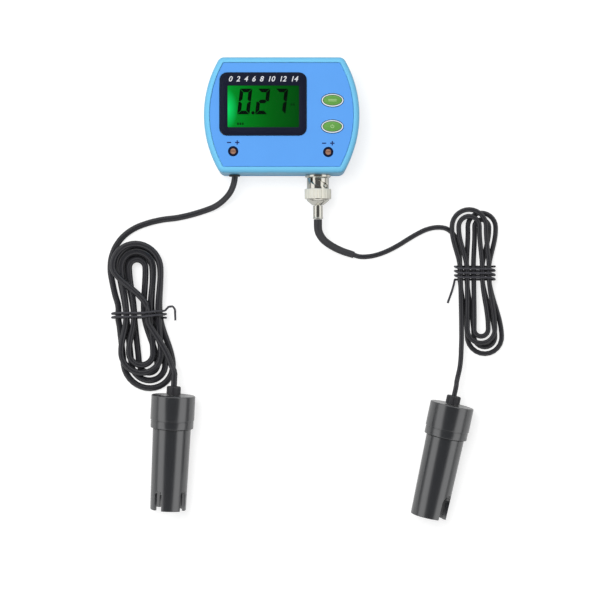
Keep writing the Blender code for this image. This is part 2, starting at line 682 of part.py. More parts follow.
def make_battery_door():
    side, tongue, top = door_half_widths()
    door = box("battery_door", (-side, DOOR_LOW_Y, DOOR_INSET), (side, CASE_HEIGHT, top), BLUE_RIM)
    join(door, box("door_tongues", (-tongue, DOOR_LOW_Y, top - DOOR_TONGUE[1]), (tongue, CASE_HEIGHT, top)))
    form = prism("door_end_form", case_outline(), 0.0, BACK_SHELL_DEPTH, low_round=BACK_EDGE_RADIUS)
    boolean(door, "INTERSECT", [form])
    for index in range(GRIP_SLOTS):
        y = GRIP_FIRST_Y + index * GRIP_PITCH
        cut(door, box(f"grip_slot_{index}", (-GRIP_SLOT_SIZE[0] / 2, y, -OVERSHOOT),
                      (GRIP_SLOT_SIZE[0] / 2, y + GRIP_SLOT_SIZE[1], DOOR_INSET + GRIP_SLOT_SIZE[2])))
    return door


def make_overlay():
    overlay = prism("front_overlay", case_outline(RIM_WIDTH), OVERLAY_Z, FACE_Z, BLUE_FACE)
    cut(overlay, prism("bezel_hole", rounded_rectangle(BEZEL_CENTRE, grown(BEZEL_SIZE, GAP), BEZEL_RADIUS + GAP),
                       OVERLAY_Z - OVERSHOOT, FACE_Z + OVERSHOOT))
    for name, centre in BUTTON_CENTRES.items():
        cut(overlay, prism(name + "_overlay_hole", ellipse(centre, BUTTON_SIZE, RING_WIDTH + 2 * GAP),
                           OVERLAY_Z - OVERSHOOT, FACE_Z + OVERSHOOT))
    for name, centre in TRIMMER_CENTRES.items():
        cut(overlay, cylinder(name + "_overlay_bore", centre, TRIMMER_TOWER_RADIUS + GAP,
                              OVERLAY_Z - OVERSHOOT, FACE_Z + OVERSHOOT))
    return overlay


def grown(size, by):
    return size[0] + 2 * by, size[1] + 2 * by


def make_case_screws():
    cross = (0.0022, 0.0005, 0.0008)
    for index, (x, y) in enumerate(corner_places()):
        head_z = SCREW_SINK
        seat_z = head_z + SCREW_HEAD_HEIGHT
        tip_z = seat_z + SCREW_LENGTH
        name = ("lower_left", "upper_left", "lower_right", "upper_right")[index] + "_case_screw"
        screw = turned(name, [(0.0, tip_z), (SCREW_SHANK_RADIUS * 0.4, tip_z), (SCREW_SHANK_RADIUS, tip_z - 0.0012),
                              (SCREW_SHANK_RADIUS, seat_z), (SCREW_HEAD_RADIUS, seat_z),
                              (SCREW_HEAD_RADIUS, head_z + 0.0005), (SCREW_HEAD_RADIUS * 0.7, head_z), (0.0, head_z)],
                       STEEL, POST_SIDES)
        screw.location = (x, y, 0.0)
        for label, (sx, sy) in {"a": (cross[0], cross[1]), "b": (cross[1], cross[0])}.items():
            cut(screw, box(f"{name}_slot_{label}", (x - sx / 2, y - sy / 2, head_z - OVERSHOOT),
                           (x + sx / 2, y + sy / 2, head_z + cross[2])))


# ================================================================ display and electronics
def make_display():
    bezel = prism("display_bezel", rounded_rectangle(BEZEL_CENTRE, BEZEL_SIZE, BEZEL_RADIUS), OVERLAY_Z,
                  OVERLAY_Z + BEZEL_HEIGHT, NAVY, top_round=0.0004)
    rebate = prism("window_rebate", rounded_rectangle(WINDOW_CENTRE, grown(WINDOW_SIZE, WINDOW_LAP + GAP),
                                                      WINDOW_RADIUS), OVERLAY_Z - OVERSHOOT,
                   OVERLAY_Z + WINDOW_THICKNESS + GAP)
    view = prism("bezel_view", rounded_rectangle(WINDOW_CENTRE, WINDOW_SIZE, WINDOW_RADIUS), OVERLAY_Z - OVERSHOOT,
                 CASE_DEPTH + OVERSHOOT)
    cut(bezel, rebate, view)
    prism("display_window", rounded_rectangle(WINDOW_CENTRE, grown(WINDOW_SIZE, WINDOW_LAP), WINDOW_RADIUS),
          OVERLAY_Z, OVERLAY_Z + WINDOW_THICKNESS, CLEAR)
    centred_box("lcd_glass", WINDOW_CENTRE, GLASS_SIZE, GLASS_Z, GLASS_THICKNESS, LCD_GREEN)
    centred_box("backlight_panel", WINDOW_CENTRE, BACKLIGHT_SIZE, BACKLIGHT_Z, BACKLIGHT_THICKNESS, BACKLIGHT)
    strip_y = WINDOW_CENTRE[1] - GLASS_SIZE[1] / 2 + ZEBRA_SIZE[1] / 2 + GAP
    centred_box("zebra_strip", (WINDOW_CENTRE[0], strip_y), ZEBRA_SIZE, BOARD_TOP_Z + GAP,
                GLASS_Z - BOARD_TOP_Z - 2 * GAP, ZEBRA)
    room = grown(GLASS_SIZE, GAP)
    holder = centred_box("lcd_holder", WINDOW_CENTRE, grown(room, HOLDER_WALL), BOARD_TOP_Z + GAP,
                         FRONT_INNER_Z - BOARD_TOP_Z - 2 * GAP, PALE_PLASTIC)
    cut(holder, centred_box("holder_room", WINDOW_CENTRE, room, BOARD_Z, CASE_DEPTH - BOARD_Z))
    for index, corner in enumerate(corner_places()):
        cut(holder, post(f"holder_notch_{index}", corner, POST_RADIUS + GAP, BOARD_Z, CASE_DEPTH))


def centred_box(name, centre, size, z_low, height, material=None):
    return box(name, (centre[0] - size[0] / 2, centre[1] - size[1] / 2, z_low),
               (centre[0] + size[0] / 2, centre[1] + size[1] / 2, z_low + height), material)


def make_board():
    half_x = CASE_WIDTH / 2 - WALL - BOARD_SIDE_ROOM
    low_y = LOWER_SIDE_Y + WALL + GAP + NUT_THICKNESS + BOARD_NUT_ROOM
    board = box("main_board", (-half_x, low_y, BOARD_Z), (half_x, UPPER_SIDE_Y - WALL - BOARD_TOP_ROOM, BOARD_TOP_Z),
                BOARD_GREEN)
    for index, corner in enumerate(corner_places()):
        cut(board, post(f"board_notch_{index}", corner, POST_SPIGOT_RADIUS + GAP, BOARD_Z - OVERSHOOT,
                        BOARD_TOP_Z + OVERSHOOT))
    centred_box("control_chip", CHIP_CENTRE, CHIP_SIZE, BOARD_Z - GAP - CHIP_SIZE[2], CHIP_SIZE[2], CHIP_BLACK)


def make_button(name, centre):
    """The sprung key, the bright ring round it and the switch under it. The key's own travel is free below it."""
    ring_top = FACE_Z + RING_PROUD
    ring = prism(name + "_button_ring", ellipse(centre, BUTTON_SIZE, RING_WIDTH + GAP), FRONT_INNER_Z + GAP, ring_top,
                 BRIGHT_METAL, top_round=0.0002)
    cut(ring, prism(name + "_ring_bore", ellipse(centre, BUTTON_SIZE, GAP), FRONT_INNER_Z - OVERSHOOT,
                    CASE_DEPTH + OVERSHOOT))
    flange_z = FRONT_INNER_Z - GAP - BUTTON_FLANGE_THICKNESS
    cap = prism(name + "_button", ellipse(centre, BUTTON_SIZE), FRONT_INNER_Z - GAP - BUTTON_FLANGE_THICKNESS / 2,
                FACE_Z + BUTTON_PROUD, BUTTON_GREEN, top_round=0.0006)
    switch_z = BOARD_TOP_Z + GAP
    stem_z = switch_z + SWITCH_HEIGHT - SWITCH_BORE_DEPTH + GAP + BUTTON_TRAVEL
    join(cap, prism(name + "_flange", ellipse(centre, BUTTON_SIZE, RING_WIDTH + 2 * GAP + BUTTON_FLANGE), flange_z,
                    flange_z + BUTTON_FLANGE_THICKNESS),
         cylinder(name + "_stem", centre, BUTTON_STEM_RADIUS, stem_z, flange_z + BUTTON_FLANGE_THICKNESS / 2,
                  segments=20))
    switch = centred_box(name + "_switch", centre, (SWITCH_SIZE, SWITCH_SIZE), switch_z, SWITCH_HEIGHT, CHIP_BLACK)
    cut(switch, cylinder(name + "_switch_bore", centre, BUTTON_STEM_RADIUS + GAP,
                         switch_z + SWITCH_HEIGHT - SWITCH_BORE_DEPTH, CASE_DEPTH, segments=20))


def make_trimmer(name, centre):
    """A trimming potentiometer on the board, its slotted rotor turning in a tower that reaches the face."""
    base_z = BOARD_TOP_Z + GAP
    body = centred_box(name + "_trimmer_body", centre, (TRIMMER_BASE, TRIMMER_BASE), base_z, TRIMMER_BASE_HEIGHT,
                       TRIMMER_NAVY)
    join(body, cylinder(name + "_tower", centre, TRIMMER_TOWER_RADIUS, base_z + TRIMMER_BASE_HEIGHT / 2, FACE_Z))
    rotor_top = FACE_Z - ROTOR_BELOW_FACE
    cut(body, cylinder(name + "_rotor_bore", centre, ROTOR_RADIUS + GAP, rotor_top - ROTOR_DEPTH - GAP,
                       CASE_DEPTH + OVERSHOOT))
    rotor = cylinder(name + "_trimmer_rotor", (0.0, 0.0), ROTOR_RADIUS, rotor_top - ROTOR_DEPTH, rotor_top, ROTOR_TAN)
    rotor.location = (*centre, 0.0)
    slot = box(name + "_rotor_slot", (-CASE_DEPTH, -ROTOR_SLOT[0] / 2, rotor_top - ROTOR_SLOT[1]),
               (CASE_DEPTH, ROTOR_SLOT[0] / 2, rotor_top + OVERSHOOT))
    slot.location = (*centre, 0.0)
    cut(rotor, slot)


def make_battery():
    height, rows = cell_places()
    half = CELL_LENGTH / 2
    nub_radius, nub = CELL_NUB
    profile = [(0.0, half), (nub_radius, half), (nub_radius, half - nub), (CELL_RADIUS - 0.0006, half - nub),
               (CELL_RADIUS, half - nub - 0.0005), (CELL_RADIUS, -half + 0.0005), (CELL_RADIUS - 0.0006, -half),
               (0.0, -half)]
    for name, y, turn in (("lower_cell", rows[0], 1), ("upper_cell", rows[1], -1)):
        cell = turned(name, profile, CELL_BLUE, 12)
        place(Matrix.Translation((BAY_CENTRE[0], y, height)) @ Matrix.Rotation(turn * math.pi / 2, 4, "Y"), cell)
    wall = bay_half_size()[0]
    bridge_low = rows[0] - CONTACT_SIZE[0] / 2
    bridge_high = rows[1] + CONTACT_SIZE[0] / 2
    make_contact("cell_bridge_contact", -1, wall, bridge_low, bridge_high, height, rows)
    make_contact("lower_cell_contact", 1, wall, bridge_low, rows[0] + CONTACT_SIZE[0] / 2, height, rows[:1])
    make_contact("upper_cell_contact", 1, wall, rows[1] - CONTACT_SIZE[0] / 2, bridge_high, height, rows[1:])


def make_contact(name, side, wall, low_y, high_y, height, domes):
    """A sprung strip against the end wall of the bay, pressed out in a dome for each cell."""
    outer = wall - GAP
    inner = outer - CONTACT_THICKNESS
    low_z = BACK_FLOOR + GAP
    plate = box(name, (min(side * outer, side * inner), low_y, low_z),
                (max(side * outer, side * inner), high_y, height + CONTACT_SIZE[1] / 2), BRASS)
    tip = CELL_LENGTH / 2 + GAP
    for index, y in enumerate(domes):
        dome = turned(f"{name}_dome_{index}", [(0.0, inner + CONTACT_THICKNESS / 2),
                                               (CONTACT_DOME_RADIUS, inner + CONTACT_THICKNESS / 2),
                                               (CONTACT_DOME_RADIUS, inner - 0.0003),
                                               (CONTACT_DOME_RADIUS / 2, tip), (0.0, tip)], None, 12)
        place(Matrix.Translation((BAY_CENTRE[0], y, height)) @ Matrix.Rotation(side * math.pi / 2, 4, "Y"), dome)
        join(plate, dome)


# ================================================================ bayonet connector
def make_socket():
    flange_radius, flange = SOCKET_FLANGE
    back = -SOCKET_INNER_REACH
    through = INSULATOR_RADIUS + GAP
    socket = turned("bnc_socket", [
        (SOCKET_BORE, SOCKET_REACH), (SOCKET_RADIUS - 0.0003, SOCKET_REACH), (SOCKET_RADIUS, SOCKET_REACH - 0.0004),
        (SOCKET_RADIUS, GAP + flange), (flange_radius - 0.0003, GAP + flange), (flange_radius, flange),
        (flange_radius, GAP), (SOCKET_RADIUS, GAP), (SOCKET_RADIUS, back), (through, back), (through, SOCKET_FLOOR),
        (SOCKET_BORE, SOCKET_FLOOR)], NICKEL)
    place(SOCKET_FRAME, socket)
    reach = LUG_TIP_RADIUS - SOCKET_BORE - 0.0003
    for index, angle in enumerate((LUG_ANGLE, LUG_ANGLE + math.pi)):
        lug = cylinder(f"lug_{index}", (0.0, 0.0), LUG_RADIUS, 0.0, reach, segments=16)
        outward = Matrix.Rotation(angle, 4, "Z") @ Matrix.Translation((SOCKET_BORE + 0.0003, 0.0, LUG_DISTANCE))
        place(SOCKET_FRAME @ outward @ Matrix.Rotation(math.pi / 2, 4, "Y"), lug)
        join(socket, lug)
    bore = CONTACT_RADIUS + GAP
    insulator = turned("bnc_socket_insulator", [
        (bore, SOCKET_INSULATOR_REACH), (INSULATOR_RADIUS, SOCKET_INSULATOR_REACH), (INSULATOR_RADIUS, back),
        (bore, back)], WHITE_PTFE, 16)
    bottom = CONTACT_REACH - CONTACT_BORE_DEPTH
    contact = turned("bnc_socket_contact", [
        (PIN_RADIUS + GAP, CONTACT_REACH), (CONTACT_RADIUS, CONTACT_REACH), (CONTACT_RADIUS, -CONTACT_TAIL),
        (0.0, -CONTACT_TAIL), (0.0, bottom), (PIN_RADIUS + GAP, bottom)], BRASS, 12)
    hexagon = [(NUT_ACROSS_FLATS / 2 / math.cos(math.pi / 6) * math.cos(a),
                NUT_ACROSS_FLATS / 2 / math.cos(math.pi / 6) * math.sin(a))
               for a in np.radians(np.arange(0, 360, 60))]
    nut = prism("bnc_socket_nut", hexagon, -WALL - GAP - NUT_THICKNESS, -WALL - GAP, NICKEL)
    bore = turned("nut_bore", [(0.0, OVERSHOOT), (SOCKET_RADIUS + GAP, OVERSHOOT),
                               (SOCKET_RADIUS + GAP, -SOCKET_INNER_REACH), (0.0, -SOCKET_INNER_REACH)])
    cut(nut, bore)
    place(SOCKET_FRAME, insulator, contact, nut, bore)


def slot_cutter(name, angle):
    """One bayonet slot: straight in from the collar's mouth, then back along a helix to the locked lug."""
    start = [(angle + BAYONET_TURN, COLLAR_START - OVERSHOOT)]
    helix = [(angle + BAYONET_TURN * (1 - t), LUG_DISTANCE - BAYONET_RUN * (1 - t))
             for t in np.linspace(0, 1, SLOT_POINTS)]
    route = [(COLLAR_FRONT_RADIUS * math.cos(a), COLLAR_FRONT_RADIUS * math.sin(a), z) for a, z in start + helix]
    # a short run past the lug gives the slot's end the lug's own clearance
    end = helix[-1]
    past = end[0] - (LUG_RADIUS + GAP) / COLLAR_FRONT_RADIUS
    route.append((COLLAR_FRONT_RADIUS * math.cos(past), COLLAR_FRONT_RADIUS * math.sin(past), end[1]))
    return tube(name, route, LUG_RADIUS + 2 * GAP)


def make_collar():
    back_z = COLLAR_END - COLLAR_BACK_WALL
    collar = turned("bnc_collar", [
        (PLUG_NECK_RADIUS + GAP, COLLAR_END), (COLLAR_GRIP_RADIUS - 0.0004, COLLAR_END),
        (COLLAR_GRIP_RADIUS, COLLAR_END - 0.0004), (COLLAR_GRIP_RADIUS, COLLAR_GRIP_START + 0.0004),
        (COLLAR_GRIP_RADIUS - 0.0004, COLLAR_GRIP_START), (COLLAR_FRONT_RADIUS, COLLAR_GRIP_START),
        (COLLAR_FRONT_RADIUS, COLLAR_START), (COLLAR_BORE, COLLAR_START), (COLLAR_BORE, back_z),
        (PLUG_NECK_RADIUS + GAP, back_z)], NICKEL, 36)
    cutters = [slot_cutter("bayonet_slot_a", LUG_ANGLE), slot_cutter("bayonet_slot_b", LUG_ANGLE + math.pi)]
    for cutter in cutters:
        place(SOCKET_FRAME, cutter)
    cut(collar, *cutters)
    groove = knurl_cutter()
    cut(collar, groove)
    place(SOCKET_FRAME, collar, groove)


def knurl_cutter():
    """The flutes of the collar's grip, as one star-shaped ring outside it."""
    inner = COLLAR_GRIP_RADIUS - 0.00045
    outer = COLLAR_GRIP_RADIUS + 0.0010
    step = 2 * math.pi / GRIP_KNURLS
    star = []
    for index in range(GRIP_KNURLS):
        for part, radius in ((-0.22, outer - 0.0008), (0.0, inner), (0.22, outer - 0.0008)):
            a = (index + part) * step
            star.append((radius * math.cos(a), radius * math.sin(a)))
    ring = prism("knurl_ring", ellipse((0.0, 0.0), (2 * outer, 2 * outer), steps=48), COLLAR_GRIP_START - OVERSHOOT,
                 COLLAR_END + OVERSHOOT)
    core = prism("knurl_core", star, COLLAR_GRIP_START - 2 * OVERSHOOT, COLLAR_END + 2 * OVERSHOOT)
    core.parent = ring
    return cut(ring, core)


def make_plug():
    gasket_z = SOCKET_REACH + GAP
    flange_z = gasket_z + GASKET_THICKNESS + GAP
    back_z = COLLAR_END + GAP
    cone_z = back_z + PLUG_BACK_LENGTH
    crimp_end = cone_z + GAP + CRIMP_LENGTH
    outer, inner = PLUG_SLEEVE
    floor_z = flange_z + 0.0004
    collar_wall_z = COLLAR_END - COLLAR_BACK_WALL
    plug = turned("bnc_plug_body", [
        (0.0, crimp_end - 0.0008), (CRIMP_NECK_RADIUS, crimp_end - 0.0008), (CRIMP_NECK_RADIUS, cone_z),
        (PLUG_BACK_END_RADIUS, cone_z), (PLUG_BACK_RADIUS - 0.0006, back_z + 0.0008),
        (PLUG_BACK_RADIUS, back_z), (PLUG_NECK_RADIUS, back_z), (PLUG_NECK_RADIUS, collar_wall_z - GAP),
        (PLUG_FLANGE_RADIUS, collar_wall_z - GAP), (PLUG_FLANGE_RADIUS, flange_z), (outer, flange_z),
        (outer, PLUG_SLEEVE_START), (inner, PLUG_SLEEVE_START), (inner, floor_z), (0.0, floor_z)], NICKEL)
    for index in range(4):
        across = Matrix.Rotation(index * math.pi / 4, 4, "Z")
        slit = box(f"spring_slit_{index}", (-outer - OVERSHOOT, -0.0002, PLUG_SLEEVE_START - OVERSHOOT),
                   (outer + OVERSHOOT, 0.0002, PLUG_SLEEVE_START + 0.0040))
        place(SOCKET_FRAME @ across, slit)
        cut(plug, slit)
    gasket = turned("bnc_gasket", [
        (GASKET_BORE, gasket_z + GASKET_THICKNESS), (PLUG_FLANGE_RADIUS, gasket_z + GASKET_THICKNESS),
        (PLUG_FLANGE_RADIUS, gasket_z), (GASKET_BORE, gasket_z)], SILICONE, 16)
    seat = floor_z - GAP
    insulator_z = CONTACT_REACH + 2 * GAP
    insulator = turned("bnc_plug_insulator", [
        (PIN_RADIUS + GAP, seat), (inner - GAP, seat), (inner - GAP, insulator_z), (PIN_RADIUS + GAP, insulator_z)],
        WHITE_PTFE, 16)
    pin = turned("bnc_plug_pin", [
        (0.0, seat), (PIN_RADIUS, seat), (PIN_RADIUS, PIN_START + 0.0006), (PIN_RADIUS / 2, PIN_START),
        (0.0, PIN_START)], BRASS, 12)
    ring_radius, ring = CRIMP_RING
    bore = CRIMP_RADIUS - CRIMP_WALL
    ferrule = turned("bnc_crimp_ferrule", [
        (bore, crimp_end), (ring_radius, crimp_end), (ring_radius, crimp_end - ring), (CRIMP_RADIUS, crimp_end - ring),
        (CRIMP_RADIUS, cone_z + GAP), (bore, cone_z + GAP)], NICKEL, 20)
    place(SOCKET_FRAME, plug, gasket, insulator, pin, ferrule)
    return crimp_end


# ================================================================ cords
def smooth_route(points, spacing, start_along=None, end_along=None):
    """A smooth curve through points, read off at even steps; the ends keep the given directions."""
    knots = [Vector(p) for p in points]
    lengths = [(b - a).length for a, b in zip(knots, knots[1:])]
    slopes = [(knots[1] - knots[0]).normalized()]
    for i in range(1, len(knots) - 1):
        before, after = lengths[i - 1], lengths[i]
        slope = (knots[i] - knots[i - 1]) / before * after + (knots[i + 1] - knots[i]) / after * before
        slopes.append(slope / (before + after))
    slopes.append((knots[-1] - knots[-2]).normalized())
    if start_along is not None:
        slopes[0] = Vector(start_along).normalized()
    if end_along is not None:
        slopes[-1] = Vector(end_along).normalized()
    fine = []
    for i, length in enumerate(lengths):
        for t in np.linspace(0, 1, 24, endpoint=False):
            fine.append(knots[i] * (2 * t**3 - 3 * t**2 + 1) + slopes[i] * length * (t**3 - 2 * t**2 + t)
                        + knots[i + 1] * (3 * t**2 - 2 * t**3) + slopes[i + 1] * length * (t**3 - t**2))
    fine.append(knots[-1])
    return even_steps(fine, spacing)


def even_steps(points, spacing):
    """Points at even steps along a polyline, both of its ends among them."""
    places = np.array([tuple(p) for p in points])
    run = np.concatenate([[0.0], np.cumsum(np.linalg.norm(np.diff(places, axis=0), axis=1))])
    count = max(2, round(run[-1] / spacing) + 1)
    marks = np.linspace(0, run[-1], count)
    return [tuple(np.interp(marks, run, places[:, axis])[i] for axis in range(3)) for i in range(count)]


def hank_point(hank, diameter, turn):
    """A point of a flat tied hank after so many turns. It starts at the waist on the left, going down, spirals in
    on the lower layer and out again on the upper one, and climbs along the run where the spiral reverses."""
    per_layer, pitch = hank["turns_per_layer"], hank["pitch"]
    layer = 0 if turn < per_layer else 1
    start, end = hank["climb"]
    spiral = turn if turn < per_layer else per_layer - max(turn - per_layer - hank["dwell"], 0.0)
    width = hank["half_width"] - pitch * spiral
    climb = min(max((turn - start) / (end - start), 0.0), 1.0)
    level = climb * climb * (3 - 2 * climb)
    upper = turn % 1.0 >= 0.5
    length = hank["upper_fold"] if upper else hank["lower_fold"] + hank["lower_drop"][layer]
    outward = 1.0 if upper else -1.0
    mean = hank["half_width"] - pitch * per_layer / 2
    total = 2 * length + math.pi * mean
    run = (turn % 0.5) * 2 * total
    angle = None
    if run < length:
        side, y = outward, outward * run
    elif run < total - length:
        side, y, angle = 0.0, outward * length, (run - length) / mean
    else:
        side, y = -outward, outward * (total - run)
    reach = 1.0 if angle is not None else abs(y) / length
    open_by = 0.5 - 0.5 * math.cos(math.pi * reach)
    if angle is None:
        x = side * (width - hank["waist_draw"] * (1 - open_by))
    else:
        x, y = outward * width * math.cos(angle), y + outward * width * math.sin(angle)
    shift = hank["upper_shift"][layer] if y > 0 else hank["lower_shift"][layer]
    x += pitch / 4 + shift * open_by - hank["lean"] * y
    z = diameter / 2 + hank["tie_lift"] * (1 - open_by) + level * pitch
    if hank["end_x"] is not None:
        x, z = leave_on_top(hank, turn, x, z, upper and run > total - length)
    return hank["centre"][0] + x, hank["centre"][1] + y, z


def leave_on_top(hank, turn, x, z, last_run):
    """The last run of the hank climbs once more and crosses the others, so that it leaves on the right."""
    left = 2 * hank["turns_per_layer"] - turn
    z += hank["pitch"] * done_between(left, hank["exit_climb"])
    if last_run:
        x += (hank["end_x"] - x) * done_between(left, hank["exit_cross"])
    return x, z


def done_between(left, stretch):
    """How much of a smooth change is done, from 0 to 1, as the turns left run down through a stretch."""
    share = min(max((stretch[0] - left) / (stretch[0] - stretch[1]), 0.0), 1.0)
    return share * share * (3 - 2 * share)


def hank_route(hank, diameter, per_turn=24):
    """The hank's whole route, its first and last diameter straight along the run."""
    turns = 2 * hank["turns_per_layer"]
    count = round(turns * per_turn)
    route = [hank_point(hank, diameter, turns * i / count) for i in range(count)]
    end = hank_point(hank, diameter, turns - 1e-6)
    first, last = Vector(route[0]), Vector(end)
    straight = Vector((0.0, -diameter, 0.0))
    route = [tuple(first), tuple(first + straight)] + [p for p in route[1:] if (Vector(p) - first).length > 2 * diameter
                                                      or p[1] > first.y]
    return route[:-1] + [tuple(last - straight), tuple(last)]


def least_gap(route, diameter):
    """The least distance between the tube and another turn of itself, measured on points along it."""
    places = np.array(even_steps(route, diameter / 3))
    apart = 12
    best = 1.0
    for i in range(len(places) - apart):
        best = min(best, float(np.min(np.linalg.norm(places[i + apart:] - places[i], axis=1))))
    return best - diameter


def make_hank(name, route, diameter):
    print(f"{name}: length {route_length(route):.3f} m, least gap to itself {1000 * least_gap(route, diameter):.2f} mm")
    tube(name, route, diameter / 2, BLACK_RUBBER, resolution=1)


def route_length(route):
    return sum((Vector(b) - Vector(a)).length for a, b in zip(route, route[1:]))


def tie_route(hank, diameter, held, wraps, pitch, tail):
    """A wire tie wound round the waist of a hank, advancing along it where it crosses the top. The strands it runs
    round are (x, level), counter-clockwise from the lower right; its far end stands off the bundle."""
    reach = diameter / 2 + TIE_GAP + TIE_RADIUS
    centres = [(x, diameter / 2 + hank["tie_lift"] + level * hank["pitch"]) for x, level in held]
    turn = []
    for i, (x, z) in enumerate(centres):
        before, after = centres[i - 1], centres[(i + 1) % len(centres)]
        first = math.atan2(z - before[1], x - before[0]) - math.pi / 2
        last = math.atan2(after[1] - z, after[0] - x) - math.pi / 2
        last += 2 * math.pi if last < first else 0.0
        turn += [(x + reach * math.cos(a), z + reach * math.sin(a))
                 for a in np.linspace(first, last, 2 + round((last - first) / TIE_STEP))]
    turn.reverse()
    count = len(turn)
    across = [x for x, _ in turn]
    left, right = across.index(min(across)), across.index(max(across))
    start = right
    route = []
    for i in range(round(wraps * count) + 1):
        x, z = turn[(start + i) % count]
        done = i // count
        over = (i % count) - (left - start) % count
        share = min(max(over / (count - (left - start) % count), 0.0), 1.0)
        y = pitch * (done + share - wraps / 2)
        route.append((hank["centre"][0] + x, hank["centre"][1] + y, z))
    return route + [(hank["centre"][0] + x, hank["centre"][1] + y, z) for x, y, z in tail]


def make_cords(crimp_end):
    make_tds_cord()
    make_ph_cord(crimp_end)


def tds_cord_routes():
    hank = hank_route(TDS_HANK, TDS_CORD)
    start = Vector(hank[0]) + Vector((0.0, GAP, 0.0))
    inside = TDS_PORT_FRAME @ Vector((0.0, 0.0, -TDS_LEAD_INSIDE))
    outside = TDS_PORT_FRAME @ Vector((0.0, *TDS_LEAD_DROP))
    route = [tuple(inside), tuple(outside), *TDS_LEAD_ROUTE, tuple(start + Vector((0.0, TDS_CORD, 0.0))),
             tuple(start)]
    lead = smooth_route(route, 2.2 * TDS_CORD, (0, -1, 0), (0, -1, 0))
    end = Vector(hank[-1]) - Vector((0.0, GAP, 0.0))
    return lead, hank, tail_route(end, TDS_TAIL_BEND, TDS_PROBE_FRAME, TDS_CORD)


def make_tds_cord():
    lead, hank, tail = tds_cord_routes()
    tube("tds_cord_lead", lead, TDS_CORD / 2, BLACK_RUBBER)
    make_hank("tds_cord_hank", hank, TDS_CORD)
    tube("tds_cord_tail", tail, TDS_CORD / 2, BLACK_RUBBER)
    print(f"tds cord: {route_length(lead) + route_length(hank) + route_length(tail):.3f} m")


def tail_route(start, bend, frame, diameter):
    """From the hank to the bottom of the gland's socket, the last diameters along the probe's axis."""
    socket = frame @ Vector((0.0, 0.0, -GLAND_HEIGHT + GLAND_SOCKET - GAP))
    mouth = frame @ Vector((0.0, 0.0, -GLAND_HEIGHT - 2 * diameter))
    along = (socket - mouth).normalized()
    straight = start - Vector((0.0, diameter, 0.0))
    free = smooth_route([tuple(straight), *bend, tuple(mouth)], 2.2 * diameter, (0, -1, 0), along)
    return [tuple(start), *free, tuple(socket)]


def ph_cord_routes(crimp_end):
    hank = hank_route(PH_HANK, PH_CORD)
    mouth = SOCKET_FRAME @ Vector((0.0, 0.0, crimp_end + GAP))
    out = mouth - Vector((0.0, 0.0030, 0.0))
    sleeve = [tuple(mouth), *smooth_route([tuple(out), *PH_SLEEVE_ROUTE], 0.0042, (0, -1, 0))]
    leaving = (Vector(sleeve[-1]) - Vector(sleeve[-2])).normalized()
    begin = Vector(sleeve[-1]) + leaving * GAP
    start = Vector(hank[0]) + Vector((0.0, GAP, 0.0))
    route = [tuple(begin), tuple(begin + leaving * PH_CORD), *PH_LEAD_ROUTE,
             tuple(start + Vector((0.0, PH_CORD, 0.0))), tuple(start)]
    lead = smooth_route(route, 2.2 * PH_CORD, leaving, (0, -1, 0))
    end = Vector(hank[-1]) - Vector((0.0, GAP, 0.0))
    return sleeve, lead, hank, tail_route(end, PH_TAIL_BEND, PH_PROBE_FRAME, PH_CORD)


def make_ph_cord(crimp_end):
    sleeve, lead, hank, tail = ph_cord_routes(crimp_end)
    wide, narrow = PH_SLEEVE_RADII
    radii = [wide + (narrow - wide) * i / (len(sleeve) - 1) for i in range(len(sleeve))]
    tube("ph_cord_sleeve", sleeve, radii, BLACK_RUBBER)
    tube("ph_cord_lead", lead, PH_CORD / 2, BLACK_RUBBER)
    make_hank("ph_cord_hank", hank, PH_CORD)
    tube("ph_cord_tail", tail, PH_CORD / 2, BLACK_RUBBER)
    print(f"ph cord: {sum(route_length(r) for r in (sleeve, lead, hank, tail)):.3f} m")


def make_grommet():
    bore = TDS_CORD / 2 + GAP
    neck = bore + GROMMET_WALL
    grommet = turned("tds_cord_grommet", [
        (bore, GAP + GROMMET_FLANGE), (GROMMET_FLANGE_RADIUS - 0.0003, GAP + GROMMET_FLANGE),
        (GROMMET_FLANGE_RADIUS, GROMMET_FLANGE), (GROMMET_FLANGE_RADIUS, GAP), (neck, GAP), (neck, -WALL - GAP),
        (GROMMET_FLANGE_RADIUS, -WALL - GAP), (GROMMET_FLANGE_RADIUS, -WALL - GAP - GROMMET_FLANGE),
        (bore, -WALL - GAP - GROMMET_FLANGE)], BLACK_RUBBER, 18)
    place(TDS_PORT_FRAME, grommet)


